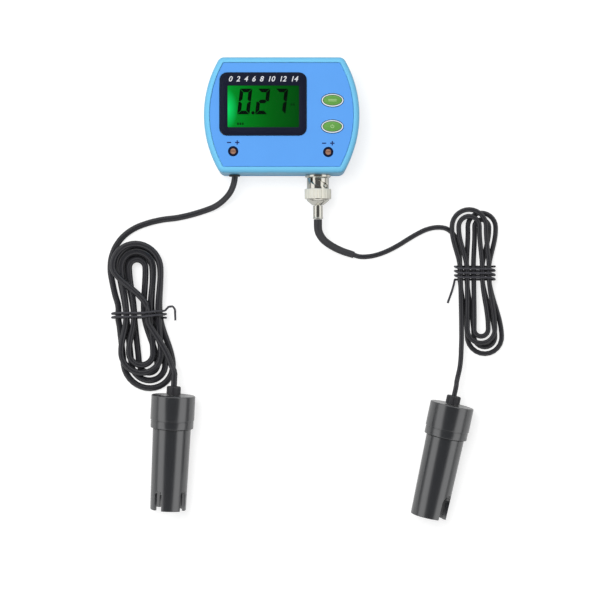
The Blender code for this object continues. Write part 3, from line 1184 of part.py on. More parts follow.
# ================================================================ probes
def make_probe(name, frame, cord, notch, azimuths):
    gland_low = CAP_TOP_WALL + GAP
    socket_radius = cord / 2 + GAP
    gland = turned(name + "_probe_gland", [
        (0.0, gland_low), (GLAND_NECK_RADIUS, gland_low), (GLAND_NECK_RADIUS, -GAP), (GLAND_RADIUS, -GAP),
        (GLAND_RADIUS, -GLAND_HEIGHT + 0.0004), (GLAND_RADIUS - 0.0004, -GLAND_HEIGHT), (socket_radius, -GLAND_HEIGHT),
        (socket_radius, -GLAND_HEIGHT + GLAND_SOCKET), (0.0, -GLAND_HEIGHT + GLAND_SOCKET)], BLACK_RUBBER, 16)
    for index in range(GLAND_RIBS):
        groove = box(f"{name}_gland_groove_{index}", (GLAND_RADIUS - 0.0006, -0.0005, -GLAND_HEIGHT + 0.0009),
                     (GLAND_RADIUS + OVERSHOOT, 0.0005, -GAP - 0.0008))
        place(frame @ Matrix.Rotation(2 * math.pi * index / GLAND_RIBS, 4, "Z"), groove)
        cut(gland, groove)
    hole = GLAND_NECK_RADIUS + GAP
    room = NECK_RADIUS + GAP
    cap = turned(name + "_probe_cap", [
        (room, CAP_LENGTH), (CAP_RING_RADIUS - 0.0003, CAP_LENGTH), (CAP_RING_RADIUS, CAP_LENGTH - 0.0004),
        (CAP_RING_RADIUS, CAP_BAND + CAP_GROOVE), (CAP_RING_RADIUS - 0.0006, CAP_BAND + CAP_GROOVE),
        (CAP_RING_RADIUS - 0.0006, CAP_BAND), (CAP_RADIUS, CAP_BAND), (CAP_RADIUS, CAP_EDGE),
        (CAP_RADIUS - CAP_EDGE * 0.3, CAP_EDGE * 0.3), (CAP_RADIUS - CAP_EDGE, 0.0), (hole, 0.0),
        (hole, CAP_TOP_WALL), (room, CAP_TOP_WALL)], BLACK_PLASTIC, 26)
    neck_top = CAP_TOP_WALL + 2 * GAP
    floor = PROBE_LENGTH - GUARD_DEPTH
    body = turned(name + "_probe_body", [
        (GUARD_BORE, PROBE_LENGTH), (TIP_RADIUS, PROBE_LENGTH), (SHOULDER_RADIUS, CAP_LENGTH + GAP),
        (NECK_RADIUS, CAP_LENGTH + GAP), (NECK_RADIUS, neck_top), (0.0, neck_top), (0.0, floor),
        (GUARD_BORE, floor)], BLACK_PLASTIC, 26)
    for index, azimuth in enumerate(azimuths):
        cut(body, notch_cutter(f"{name}_notch_{index}", frame, notch, math.radians(azimuth)))
    place(frame, gland, cap, body)
    return body, floor


def notch_cutter(name, frame, notch, azimuth):
    """A slot with a round top, cut into the guard's wall from its open end."""
    width, height = notch
    high = PROBE_LENGTH + OVERSHOOT
    low = PROBE_LENGTH - height + width / 2
    arc = [(width / 2 * math.cos(a), low + width / 2 * math.sin(a)) for a in np.linspace(math.pi, 2 * math.pi, 13)]
    outline = [(width / 2, high), (-width / 2, high)] + arc
    cutter = prism(name, outline, GUARD_BORE / 2, TIP_RADIUS + OVERSHOOT)
    # the outline's y runs along the probe and its thickness runs outwards
    stand = Matrix(((0, 0, 1, 0), (1, 0, 0, 0), (0, 1, 0, 0), (0, 0, 0, 1)))
    place(frame @ Matrix.Rotation(azimuth, 4, "Z") @ stand, cutter)
    return cutter


def make_tds_probe():
    body, floor = make_probe("tds", TDS_PROBE_FRAME, TDS_CORD, TDS_NOTCH, TDS_NOTCH_AZIMUTHS)
    for side, name in ((-1, "tds_left_electrode"), (1, "tds_right_electrode")):
        x = side * ELECTRODE_SPACING / 2
        seat = cylinder(name + "_seat", (x, 0.0), ELECTRODE_RADIUS + GAP, floor - ELECTRODE_SEAT, floor + OVERSHOOT,
                        segments=16)
        pin = turned(name, [
            (0.0, floor + ELECTRODE_REACH), (ELECTRODE_RADIUS * 0.6, floor + ELECTRODE_REACH),
            (ELECTRODE_RADIUS, floor + ELECTRODE_REACH - 0.0006), (ELECTRODE_RADIUS, floor - ELECTRODE_SEAT + GAP),
            (0.0, floor - ELECTRODE_SEAT + GAP)], STEEL, 16)
        place(TDS_PROBE_FRAME, seat)
        place(TDS_PROBE_FRAME @ Matrix.Translation((x, 0.0, 0.0)), pin)
        cut(body, seat)


def make_ph_probe():
    body, floor = make_probe("ph", PH_PROBE_FRAME, PH_CORD, PH_NOTCH, PH_NOTCH_AZIMUTHS)
    seat = cylinder("bulb_seat", (0.0, 0.0), BULB_STEM_RADIUS + GAP, floor - BULB_SEAT, floor + OVERSHOOT)
    centre = floor + BULB_REACH - BULB_RADIUS
    meet = math.asin(BULB_STEM_RADIUS / BULB_RADIUS)
    dome = [(BULB_RADIUS * math.sin(a), centre + BULB_RADIUS * math.cos(a))
            for a in np.linspace(0, math.pi - meet, 8)]
    bulb = turned("ph_glass_bulb", dome + [(BULB_STEM_RADIUS, floor - BULB_SEAT + GAP),
                                           (0.0, floor - BULB_SEAT + GAP)], GLASS, 18)
    place(PH_PROBE_FRAME, seat, bulb)
    cut(body, seat)


def make_ties():
    tube("tds_cord_tie", tie_route(TDS_HANK, TDS_CORD, TDS_TIE_HELD, 2, 0.0021, TDS_TIE_TAIL), TIE_RADIUS,
         BLACK_PLASTIC, resolution=1)
    tube("ph_cord_tie", tie_route(PH_HANK, PH_CORD, PH_TIE_HELD, 3.5, -0.0024, PH_TIE_TAIL), TIE_RADIUS,
         BLACK_PLASTIC, resolution=1)


def make_all():
    make_front_shell()
    make_back_shell()
    make_battery_door()
    make_overlay()
    make_case_screws()
    make_display()
    make_board()
    for name, centre in BUTTON_CENTRES.items():
        make_button(name, centre)
    for name, centre in TRIMMER_CENTRES.items():
        make_trimmer(name, centre)
    make_battery()
    make_socket()
    make_collar()
    make_grommet()
    make_cords(make_plug())
    make_ties()
    make_tds_probe()
    make_ph_probe()


make_all()
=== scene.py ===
"""The looks of a hand-sized pH and dissolved-solids monitor, lying on its back with its two probes on tied cords.

Everything is in metres, in the frame of the CAD model: the origin is the centre of the case's back face, +Z comes out
of the display and +Y runs to its top. Sections: shared measures, finishes, shapes, outlines, case and display,
controls, connector, cords, probes, kept nodes, studio, and the making of it all.
"""
import json
import math

import bmesh
import bpy
import numpy as np
from mathutils import Matrix, Vector

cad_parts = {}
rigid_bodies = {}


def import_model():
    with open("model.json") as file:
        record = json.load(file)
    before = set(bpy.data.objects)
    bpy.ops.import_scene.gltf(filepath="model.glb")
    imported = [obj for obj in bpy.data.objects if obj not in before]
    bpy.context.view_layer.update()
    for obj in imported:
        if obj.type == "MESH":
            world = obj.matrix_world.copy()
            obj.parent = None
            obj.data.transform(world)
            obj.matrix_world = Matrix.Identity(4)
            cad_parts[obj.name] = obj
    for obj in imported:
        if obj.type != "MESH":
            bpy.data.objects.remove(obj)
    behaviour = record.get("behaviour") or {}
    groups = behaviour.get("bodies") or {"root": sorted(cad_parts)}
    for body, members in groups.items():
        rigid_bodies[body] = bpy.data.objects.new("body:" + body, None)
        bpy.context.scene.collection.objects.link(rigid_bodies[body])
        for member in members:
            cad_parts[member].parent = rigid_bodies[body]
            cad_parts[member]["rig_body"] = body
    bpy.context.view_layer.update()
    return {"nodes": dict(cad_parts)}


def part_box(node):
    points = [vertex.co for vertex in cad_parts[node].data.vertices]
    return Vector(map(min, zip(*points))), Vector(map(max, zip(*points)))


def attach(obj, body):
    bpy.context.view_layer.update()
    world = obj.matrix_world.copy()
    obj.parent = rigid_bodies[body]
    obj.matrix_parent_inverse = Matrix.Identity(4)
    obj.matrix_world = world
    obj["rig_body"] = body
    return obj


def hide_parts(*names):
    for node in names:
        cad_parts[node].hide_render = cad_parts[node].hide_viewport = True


for leftover in list(bpy.data.objects):
    bpy.data.objects.remove(leftover)
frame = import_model()

# ================================================================ measures shared by several pieces
CASE_WIDTH = 0.0840
CASE_HEIGHT = 0.0624
CASE_DEPTH = 0.0300
SIDE_RADIUS = 0.0600
CORNER_RADIUS = 0.0040
WALL = 0.0022
RIM_ROUND = 0.0032
RIM_WIDTH = 0.0031
RIM_INNER_ROUND = 0.0005
FACE_RECESS = 0.0014
FACE_FLANGE = 0.0060  # how far the rim's foot reaches in under the overlay
FACE_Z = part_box("front_overlay")[1].z
LCD_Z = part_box("lcd_glass")[1].z
SOCKET_X = 0.0197
PORT_Z = 0.0135
LOWER_SIDE_Y = -CASE_HEIGHT / 2
SOCKET_FRAME = Matrix.Translation((SOCKET_X, LOWER_SIDE_Y, PORT_Z)) @ Matrix.Rotation(math.pi / 2, 4, "X")
PRINT_THICKNESS = 0.00006
GAP = 0.0003  # that the CAD model keeps between pieces
CRIMP_END = LOWER_SIDE_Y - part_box("bnc_crimp_ferrule")[0].y
BUTTON_SIZE = (0.0101, 0.0053)
BUTTON_CENTRES = {"upper": (0.0274, 0.0077), "lower": (0.0273, -0.0064)}
TRIMMER_CENTRES = {"tds": (-0.0261, -0.0197), "ph": (0.0251, -0.0201)}
BEZEL_CENTRE = (-0.0100, 0.0057)
BEZEL_SIZE = (0.0466, 0.0336)
BEZEL_ROUND = 0.0038
WINDOW_CENTRE = (-0.0099, 0.00443)
WINDOW_SIZE = (0.0384, 0.0224)
WINDOW_ROUND = 0.0006
FINE_EDGE = 0.0001  # how far from a corner its small round starts
EDGE = 0.0002
SOFT_EDGE = 0.0003
OVERCUT = 0.001  # that a cutter runs on past what it cuts


# ================================================================ finishes
TONE_SCALE = 90.0  # of the slow change of tone, per metre
GRAIN_DEPTH = 0.00004
SMOOTHEST = 0.02
WINDOW_LEFT = WINDOW_CENTRE[0] - WINDOW_SIZE[0] / 2
GLOW_CENTRE = (WINDOW_LEFT - 0.0005, WINDOW_CENTRE[1] - 0.001, LCD_Z)
GLOW_REACH = (0.0060, 0.0110, 1.0)
GLOW_GREEN = (20, 245, 120)
CRYSTAL_STOPS = ((0.0, (2, 160, 48)), (0.10, (2, 142, 38)), (0.30, (2, 124, 26)), (0.62, (2, 98, 15)),
                 (1.0, (2, 76, 12)))


def linear(red, green, blue):
    """A colour given as 0-255 on a screen, in the linear values that a shader takes."""
    return tuple(c / 3294.6 if c <= 10 else ((c / 255 + 0.055) / 1.055) ** 2.4 for c in (red, green, blue))


def grain_group():
    """Fine moulded texture: a height for bumps, and a slow tone that varies colour and gloss."""
    group = bpy.data.node_groups.new("moulded_grain", "ShaderNodeTree")
    group.interface.new_socket("Scale", in_out="INPUT", socket_type="NodeSocketFloat")
    group.interface.new_socket("Height", in_out="OUTPUT", socket_type="NodeSocketFloat")
    group.interface.new_socket("Tone", in_out="OUTPUT", socket_type="NodeSocketFloat")
    source = group.nodes.new("NodeGroupInput")
    sink = group.nodes.new("NodeGroupOutput")
    place = group.nodes.new("ShaderNodeTexCoord")
    fine = group.nodes.new("ShaderNodeTexNoise")
    slow = group.nodes.new("ShaderNodeTexNoise")
    slow.inputs["Scale"].default_value = TONE_SCALE
    for noise, detail in ((fine, 3.0), (slow, 2.0)):
        noise.inputs["Detail"].default_value = detail
        group.links.new(place.outputs["Object"], noise.inputs["Vector"])
    group.links.new(source.outputs["Scale"], fine.inputs["Scale"])
    group.links.new(fine.outputs["Fac"], sink.inputs["Height"])
    group.links.new(slow.outputs["Fac"], sink.inputs["Tone"])
    return group


GRAIN = grain_group()


def node(material, kind, **values):
    made = material.node_tree.nodes.new(kind)
    for key, value in values.items():
        made.inputs[key].default_value = value
    return made


def between(material, low, high, mask):
    """Mixes two colours, each a plain one or another node's, by a mask that changes over the surface."""
    links = material.node_tree.links
    mix = node(material, "ShaderNodeMix")
    mix.data_type = "RGBA"
    for key, colour in (("A", low), ("B", high)):
        if isinstance(colour, bpy.types.NodeSocket):
            links.new(colour, mix.inputs[key])
        else:
            mix.inputs[key].default_value = (*colour, 1.0)
    links.new(mask, mix.inputs["Factor"])
    return mix.outputs["Result"]


def scaled(material, value, low, high):
    """Maps a 0 to 1 value onto a range."""
    span = node(material, "ShaderNodeMapRange", **{"To Min": low, "To Max": high})
    material.node_tree.links.new(value, span.inputs["Value"])
    return span.outputs["Result"]


def colour_ramp(tree, stops):
    """A ramp through (place, colour) stops, the first of them at 0 and the last at 1."""
    ramp = tree.nodes.new("ShaderNodeValToRGB")
    elements = ramp.color_ramp.elements
    for place, colour in stops[1:-1]:
        elements.new(place).color = (*colour, 1.0)
    elements[0].color = (*stops[0][1], 1.0)
    elements[-1].color = (*stops[-1][1], 1.0)
    return ramp


def gradient(material, kind, start, reach):
    """A 0 to 1 gradient over the object: along X from a start, or inwards to a centre."""
    place = node(material, "ShaderNodeTexCoord")
    spread = node(material, "ShaderNodeMapping", Location=start, Scale=reach)
    spread.vector_type = "TEXTURE"
    fade = node(material, "ShaderNodeTexGradient")
    fade.gradient_type = kind
    material.node_tree.links.new(place.outputs["Object"], spread.inputs["Vector"])
    material.node_tree.links.new(spread.outputs["Vector"], fade.inputs["Vector"])
    return fade.outputs["Fac"]


def finish(name, colour, roughness, metallic=0.0, grain=1500.0, bump=0.10, tone=0.05, spread=0.05, **plain):
    """A moulded or plated surface: one colour with a faint change of tone, and a fine grain in its gloss."""
    made = bpy.data.materials.new(name)
    made.use_nodes = True
    links = made.node_tree.links
    shader = made.node_tree.nodes["Principled BSDF"]
    surface = node(made, "ShaderNodeGroup")
    surface.node_tree = GRAIN
    surface.inputs["Scale"].default_value = grain
    darker = tuple(c * (1 - tone) for c in colour)
    lighter = tuple(min(1.0, c * (1 + tone)) for c in colour)
    links.new(between(made, darker, lighter, surface.outputs["Tone"]), shader.inputs["Base Color"])
    links.new(scaled(made, surface.outputs["Tone"], max(SMOOTHEST, roughness - spread), roughness + spread),
              shader.inputs["Roughness"])
    raised = node(made, "ShaderNodeBump", Strength=bump, Distance=GRAIN_DEPTH)
    links.new(surface.outputs["Height"], raised.inputs["Height"])
    links.new(raised.outputs["Normal"], shader.inputs["Normal"])
    shader.inputs["Metallic"].default_value = metallic
    for key, value in plain.items():
        shader.inputs[key.replace("_", " ")].default_value = value
    return made


def lcd_finish():
    """Green liquid crystal lit from its left end, brightest in the middle of that edge."""
    made = bpy.data.materials.new("lit_green_crystal")
    made.use_nodes = True
    links = made.node_tree.links
    shader = made.node_tree.nodes["Principled BSDF"]
    fall = colour_ramp(made.node_tree, [(place, linear(*colour)) for place, colour in CRYSTAL_STOPS])
    links.new(gradient(made, "LINEAR", (WINDOW_LEFT, 0.0, 0.0), (WINDOW_SIZE[0], 1.0, 1.0)), fall.inputs["Fac"])
    glow = gradient(made, "SPHERICAL", GLOW_CENTRE, GLOW_REACH)
    links.new(between(made, fall.outputs["Color"], linear(*GLOW_GREEN), glow), shader.inputs["Emission Color"])
    for key, value in {"Emission Strength": 1.0, "Base Color": (0.0, 0.004, 0.001, 1.0), "Roughness": 0.35,
                       "Specular IOR Level": 0.05}.items():
        shader.inputs[key].default_value = value
    return made


RIM_BLUE = finish("rim_blue", linear(126, 211, 255), 0.34, grain=1100.0, bump=0.05, tone=0.03,
                  Specular_IOR_Level=0.25)
FACE_BLUE = finish("overlay_blue", linear(100, 171, 253), 0.42, grain=2600.0, bump=0.10, tone=0.03,
                   Specular_IOR_Level=0.2)
BACK_BLUE = finish("back_blue", linear(112, 196, 250), 0.48, grain=1400.0, bump=0.16, tone=0.03,
                   Specular_IOR_Level=0.2)
BEZEL_NAVY = finish("bezel_navy", linear(26, 30, 48), 0.30, grain=1800.0, bump=0.08, tone=0.10,
                    Specular_IOR_Level=0.15)
LCD_GREEN = lcd_finish()
SEGMENT_BLACK = finish("segment_black", linear(2, 14, 4), 0.40, grain=3000.0, Specular_IOR_Level=0.05)
GHOST_GREEN = finish("faint_segment", linear(2, 56, 12), 0.40, grain=3000.0, Specular_IOR_Level=0.05)
PRINT_WHITE = finish("printed_white", linear(232, 234, 240), 0.45, grain=3000.0)
PRINT_NAVY = finish("printed_navy", linear(26, 44, 104), 0.45, grain=3000.0)
PRINT_PALE = finish("printed_pale_green", linear(176, 214, 150), 0.45, grain=3000.0)
BUTTON_GREEN = finish("button_green", linear(104, 168, 76), 0.34, grain=1700.0, bump=0.08, Coat_Weight=0.25,
                      Coat_Roughness=0.15)
RING_CHROME = finish("ring_chrome", linear(226, 232, 236), 0.14, metallic=1.0, grain=2000.0, bump=0.02)
TRIMMER_NAVY = finish("trimmer_navy", linear(16, 28, 62), 0.40, grain=2200.0, Specular_IOR_Level=0.2)
ROTOR_TAN = finish("rotor_tan", linear(168, 126, 104), 0.45, grain=2600.0, tone=0.14)
NICKEL = finish("nickel_plate", linear(224, 222, 212), 0.13, metallic=1.0, grain=1600.0, bump=0.03, spread=0.04)
KNURL_CREAM = finish("knurled_nickel", linear(240, 237, 224), 0.42, metallic=0.12, grain=900.0, bump=0.3, tone=0.08)
STEEL = finish("bright_steel", linear(205, 206, 208), 0.26, metallic=1.0, grain=1600.0, bump=0.05)
GOLD = finish("gold_flash", linear(226, 184, 96), 0.25, metallic=1.0, grain=1600.0, bump=0.05)
PTFE = finish("white_insulator", linear(236, 236, 232), 0.45, grain=1200.0)
CORD_BLACK = finish("cord_black", linear(43, 43, 47), 0.30, grain=2400.0, bump=0.14, tone=0.10, spread=0.07,
                    Specular_IOR_Level=0.55)
RUBBER_BLACK = finish("rubber_black", linear(56, 56, 59), 0.40, grain=1900.0, bump=0.16, tone=0.10, spread=0.07,
                      Specular_IOR_Level=0.40)
PROBE_BLACK = finish("probe_black", linear(34, 36, 40), 0.36, grain=1500.0, bump=0.05, tone=0.10, spread=0.04,
                     Coat_Weight=1.0, Coat_IOR=2.0, Coat_Roughness=0.20)
TIE_BLACK = finish("tie_black", linear(62, 62, 68), 0.38, grain=2600.0, bump=0.10)
CLEAR = finish("clear_window", linear(20, 40, 30), 0.06, grain=2000.0, bump=0.0, Alpha=0.08, Specular_IOR_Level=0.3)
BULB_GLASS = finish("bulb_glass", linear(236, 242, 244), 0.05, grain=2000.0, bump=0.0, Transmission_Weight=0.9)
PALE_PLASTIC = finish("pale_plastic", linear(224, 224, 218), 0.50, grain=1200.0)
GUIDE_GREEN = finish("light_guide_green", linear(90, 220, 130), 0.35, grain=1200.0)
ZEBRA_GREY = finish("zebra_rubber_grey", linear(120, 120, 124), 0.65, grain=2400.0)
BOARD_GREEN = finish("board_laminate_green", linear(24, 108, 58), 0.42, grain=2000.0, tone=0.12)
CHIP_BLACK = finish("chip_black", linear(30, 30, 31), 0.55, grain=2600.0)


# ================================================================ shapes
def piece(name, bm, material, body, stands_for=(), crease=32):
    """Makes a bmesh into a piece that rides on a body of the frame and stands for these nodes."""
    mesh = bpy.data.meshes.new(name)
    bm.to_mesh(mesh)
    bm.free()
    mesh.shade_smooth()
    mesh.set_sharp_from_angle(angle=math.radians(crease))
    made = bpy.data.objects.new(name, mesh)
    bpy.context.scene.collection.objects.link(made)
    made.data.materials.append(material)
    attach(made, body)
    if stands_for:
        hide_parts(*stands_for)
    return made


def loft(rings, capped=True):
    """A skin drawn out from ring to ring, its ends filled, or brought back to its start as a closed band."""
    bm = bmesh.new()
    order = bm.verts.layers.int.new("order")
    corners = [bm.verts.new(point) for point in rings[0]]
    for index, corner in enumerate(corners):
        corner[order] = index
    loop = [bm.edges.new(pair) for pair in zip(corners, corners[1:] + corners[:1])]
    if capped:
        bmesh.ops.contextual_create(bm, geom=loop)
    for ring in rings[1:] if capped else [*rings[1:], rings[0]]:
        drawn = bmesh.ops.extrude_edge_only(bm, edges=loop)["geom"]
        loop = [part for part in drawn if isinstance(part, bmesh.types.BMEdge)]
        for part in drawn:
            if isinstance(part, bmesh.types.BMVert):
                part.co = ring[part[order]]
    if capped:
        bmesh.ops.contextual_create(bm, geom=loop)
    else:
        bmesh.ops.remove_doubles(bm, verts=bm.verts, dist=1e-7)
    bm.verts.layers.int.remove(order)
    bmesh.ops.recalc_face_normals(bm, faces=bm.faces)
    return bm


def eased(corners, steps=4):
    """An open line of (across, along, round) corners, each between its two ends turned into a short curve."""
    line = []
    for index, (x, y, start_off) in enumerate(corners):
        if not start_off or index in (0, len(corners) - 1):
            line.append((x, y))
            continue
        here = Vector((x, y))
        start = here + (Vector(corners[index - 1][:2]) - here).normalized() * start_off
        end = here + (Vector(corners[index + 1][:2]) - here).normalized() * start_off
        for t in np.linspace(0, 1, steps + 1):
            point = start * (1 - t) ** 2 + here * 2 * t * (1 - t) + end * t * t
            line.append((point.x, point.y))
    return line


def lathe(profile, steps=64):
    """A closed solid of revolution about Z from a line of (radius, z)."""
    bm = bmesh.new()
    line = [bm.verts.new((radius, 0.0, z)) for radius, z in profile]
    edges = [bm.edges.new(pair) for pair in zip(line, line[1:])]
    if profile[0][0] > 0 or profile[-1][0] > 0:
        edges.append(bm.edges.new((line[-1], line[0])))
    bmesh.ops.spin(bm, geom=line + edges, cent=(0, 0, 0), axis=(0, 0, 1), angle=2 * math.pi, steps=steps,
                   use_merge=True)
    bmesh.ops.remove_doubles(bm, verts=bm.verts, dist=1e-6)
    bmesh.ops.recalc_face_normals(bm, faces=bm.faces)
    return bm


def placed(bm, matrix):
    bmesh.ops.transform(bm, matrix=matrix, verts=bm.verts)
    return bm


def joined(*parts):
    """Several bmeshes as one."""
    whole = bmesh.new()
    for part in parts:
        mesh = bpy.data.meshes.new("part")
        part.to_mesh(mesh)
        part.free()
        whole.from_mesh(mesh)
        bpy.data.meshes.remove(mesh)
    return whole


def carved(body, cutters, folded=False):
    """Cuts bmeshes out of another with exact Booleans. A folded cutter is one that crosses itself."""
    helpers = []
    for index, bm in enumerate([body, *cutters]):
        mesh = bpy.data.meshes.new(f"carving_{index}")
        bm.to_mesh(mesh)
        bm.free()
        helper = bpy.data.objects.new(f"carving_{index}", mesh)
        bpy.context.scene.collection.objects.link(helper)
        helpers.append(helper)
    for cutter in helpers[1:]:
        step = helpers[0].modifiers.new("cut", "BOOLEAN")
        step.operation = "DIFFERENCE"
        step.solver = "EXACT"
        step.use_self = folded
        step.object = cutter
    bpy.context.view_layer.update()
    result = bmesh.new()
    result.from_object(helpers[0], bpy.context.evaluated_depsgraph_get())
    for helper in helpers:
        bpy.data.objects.remove(helper)
    return result


def slab(outline, low, high):
    """An upright prism over an outline."""
    return loft([[(x, y, z) for x, y in outline] for z in (low, high)])


def printed(outline, z, thickness=PRINT_THICKNESS):
    return slab(outline, z, z + thickness)


def block(low, high):
    bm = bmesh.new()
    bmesh.ops.create_cube(bm, size=1.0)
    low, high = Vector(low), Vector(high)
    bmesh.ops.scale(bm, vec=high - low, verts=bm.verts)
    bmesh.ops.translate(bm, vec=(low + high) / 2, verts=bm.verts)
    return bm


def soften_edges(made, width, sharpest):
    soften = made.modifiers.new("soft edges", "BEVEL")
    soften.width = width
    soften.segments = 2
    soften.limit_method = "ANGLE"
    soften.angle_limit = math.radians(sharpest)


def refined(node_name, material, bevel=0.00012):
    """A smooth, softly bevelled copy of a CAD node, which it stands for."""
    source = frame["nodes"][node_name]
    bm = bmesh.new()
    bm.from_mesh(source.data)
    bmesh.ops.remove_doubles(bm, verts=bm.verts, dist=1e-6)
    bmesh.ops.dissolve_limit(bm, angle_limit=math.radians(0.5), verts=bm.verts, edges=bm.edges)
    made = piece(node_name + "_finished", bm, material, source["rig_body"], [node_name])
    if bevel:
        soften_edges(made, bevel, 40)


def tube(name, points, radii, material, body, stands_for=(), sides=4):
    """A round cord through points: a curve of one open spline."""
    curve = bpy.data.curves.new(name, "CURVE")
    curve.dimensions = "3D"
    curve.bevel_depth = 1.0
    curve.bevel_resolution = sides
    curve.use_fill_caps = True
    curve.twist_mode = "MINIMUM"
    spline = curve.splines.new("POLY")
    spline.points.add(len(points) - 1)
    radii = [radii] * len(points) if np.isscalar(radii) else radii
    for point, place, radius in zip(spline.points, points, radii):
        point.co = (*place, 1.0)
        point.radius = radius
    spline.use_smooth = True
    curve.materials.append(material)
    made = bpy.data.objects.new(name, curve)
    bpy.context.scene.collection.objects.link(made)
    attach(made, body)
    if stands_for:
        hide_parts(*stands_for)
    return made


FIGURE_SHARE = 0.73  # of the type's size that a figure is high
STROKE_SWELL = 0.02  # that its strokes are widened, as a share of its height


def lettering(text, height, place, z, lean):
    """Plain printed characters as a thin mesh, centred on a place."""
    curve = bpy.data.curves.new("print", "FONT")
    curve.body = text
    curve.size = height / FIGURE_SHARE
    curve.align_x = "CENTER"
    curve.align_y = "CENTER"
    curve.shear = lean
    curve.offset = height * STROKE_SWELL
    curve.extrude = PRINT_THICKNESS / 2
    curve.resolution_u = 4
    helper = bpy.data.objects.new("print", curve)
    bpy.context.scene.collection.objects.link(helper)
    bpy.context.view_layer.update()
    mesh = bpy.data.meshes.new_from_object(helper.evaluated_get(bpy.context.evaluated_depsgraph_get()))
    bpy.data.objects.remove(helper)
    bm = bmesh.new()
    bm.from_mesh(mesh)
    bpy.data.meshes.remove(mesh)
    bmesh.ops.remove_doubles(bm, verts=bm.verts, dist=1e-7)
    return placed(bm, Matrix.Translation((*place, z + PRINT_THICKNESS / 2)))


# ================================================================ outlines
SMALLEST_CORNER = 0.0008


def case_outline(inset=0.0, side_steps=24, corner_steps=8):
    """The case seen from the front, moved inwards: flat top and bottom, bulging sides, round corners."""
    centre_x = CASE_WIDTH / 2 - SIDE_RADIUS
    side = SIDE_RADIUS - inset
    high = CASE_HEIGHT / 2 - inset
    corner = max(CORNER_RADIUS - inset, SMALLEST_CORNER)
    corner_y = high - corner
    corner_x = centre_x + math.sqrt((side - corner) ** 2 - corner_y**2)
    lift = math.atan2(corner_y, corner_x - centre_x)
    right = [(centre_x + side * math.cos(a), side * math.sin(a)) for a in np.linspace(-lift, lift, side_steps)]
    bend = [(corner_x + corner * math.cos(a), corner_y + corner * math.sin(a))
            for a in np.linspace(lift, math.pi / 2, corner_steps)[1:]]
    upper = right + bend + [(-x, y) for x, y in reversed(bend)]
    left = [(-x, y) for x, y in reversed(right)]
    return upper + left + [(-x, -y) for x, y in bend] + [(x, -y) for x, y in reversed(bend)]


def rounded_rectangle(centre, size, radius, steps=8):
    points = []
    for sx, sy, start in ((1, 1, 0), (-1, 1, 90), (-1, -1, 180), (1, -1, 270)):
        cx = centre[0] + sx * (size[0] / 2 - radius)
        cy = centre[1] + sy * (size[1] / 2 - radius)
        for step in range(steps + 1):
            a = math.radians(start + 90 * step / steps)
            points.append((cx + radius * math.cos(a), cy + radius * math.sin(a)))
    return points


def oval(centre, size, grow=0.0, steps=56):
    return [(centre[0] + (size[0] / 2 + grow) * math.cos(a), centre[1] + (size[1] / 2 + grow) * math.sin(a))
            for a in np.linspace(0, 2 * math.pi, steps, endpoint=False)]


def at(outline, z):
    return [(x, y, z) for x, y in outline]


# ================================================================ case and display
RIM_ARC = np.radians(np.linspace(8, 68, 9))
RIM_CREST = (0.0024, 0.0001)  # from the side and below the front
BEZEL_OUTER_EDGE = 0.0004
BEZEL_INNER_EDGE = 0.0003
SCALE_PRINT = "0  2  4  6  8  10  12  14"
SCALE_HEIGHT = 0.0029
SCALE_PLACE = (-0.0100, 0.0190)
SCALE_LEAN = 0.25


def make_case_front():
    """The front shell's wall, its round rim and the foot of the rim that the overlay lies in."""
    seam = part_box("front_shell")[0].z
    under = CASE_DEPTH - FACE_RECESS
    line = [(0.0, seam), (0.0, CASE_DEPTH - RIM_ROUND)]
    line += [(RIM_ROUND * (1 - math.cos(a)), CASE_DEPTH - RIM_ROUND * (1 - math.sin(a)))
             for a in RIM_ARC]
    line += eased([(RIM_CREST[0], CASE_DEPTH - RIM_CREST[1], 0.0), (RIM_WIDTH, CASE_DEPTH, RIM_INNER_ROUND),
                   (RIM_WIDTH, under, 0.0)])
    line += [(FACE_FLANGE, under), (FACE_FLANGE, under - WALL), (WALL, under - WALL), (WALL, seam)]
    rings = [at(case_outline(inset), z) for inset, z in line]
    piece("case_front_shell", loft(rings, capped=False), RIM_BLUE, "case", ["front_shell"], crease=38)


def wall_and_edge(low, high, edge):
    """(distance inwards, height) up a wall and over its small rounded edge."""
    return [(0.0, low), (0.0, high - edge), (edge * 0.3, high - edge * 0.3), (edge, high)]


def make_bezel():
    """The dark frame round the display, open over the window, with its printed scale."""
    low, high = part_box("display_bezel")
    outer = [at(rounded_rectangle(BEZEL_CENTRE, (BEZEL_SIZE[0] - 2 * d, BEZEL_SIZE[1] - 2 * d), BEZEL_ROUND - d), z)
             for d, z in wall_and_edge(low.z, high.z, BEZEL_OUTER_EDGE)]
    view = [at(rounded_rectangle(WINDOW_CENTRE, (WINDOW_SIZE[0] + 2 * d, WINDOW_SIZE[1] + 2 * d), WINDOW_ROUND + d), z)
            for d, z in reversed(wall_and_edge(low.z, high.z, BEZEL_INNER_EDGE))]
    piece("display_frame", loft(outer + view, capped=False), BEZEL_NAVY, "case", ["display_bezel"], crease=50)
    scale = lettering(SCALE_PRINT, SCALE_HEIGHT, SCALE_PLACE, high.z, SCALE_LEAN)
    piece("display_frame_print", scale, PRINT_WHITE, "case")


SEGMENTS = {"0": "abcdef", "2": "abged", "7": "abc"}
DIGIT_SIZE = (0.0067, 0.0139)
DIGIT_STROKE = 0.0020
DIGIT_GAP = 0.00014
DIGIT_LEAN = math.tan(math.radians(6.6))
DIGIT_LEFT = -0.0241
DIGIT_BASE = 0.0005
DIGIT_PITCH = 0.0097
DOT_PLACE = (-0.0155, 0.0013)
DOT_SIZE = (0.0018, 0.0018)
FAINT_MARKS = (((-0.0236, -0.0046), (0.0009, 0.0013), 3), ((0.0053, 0.0058), (0.0009, 0.0011), 2))
FAINT_PITCH = 0.0013
FAINT_ROUND = 0.0002


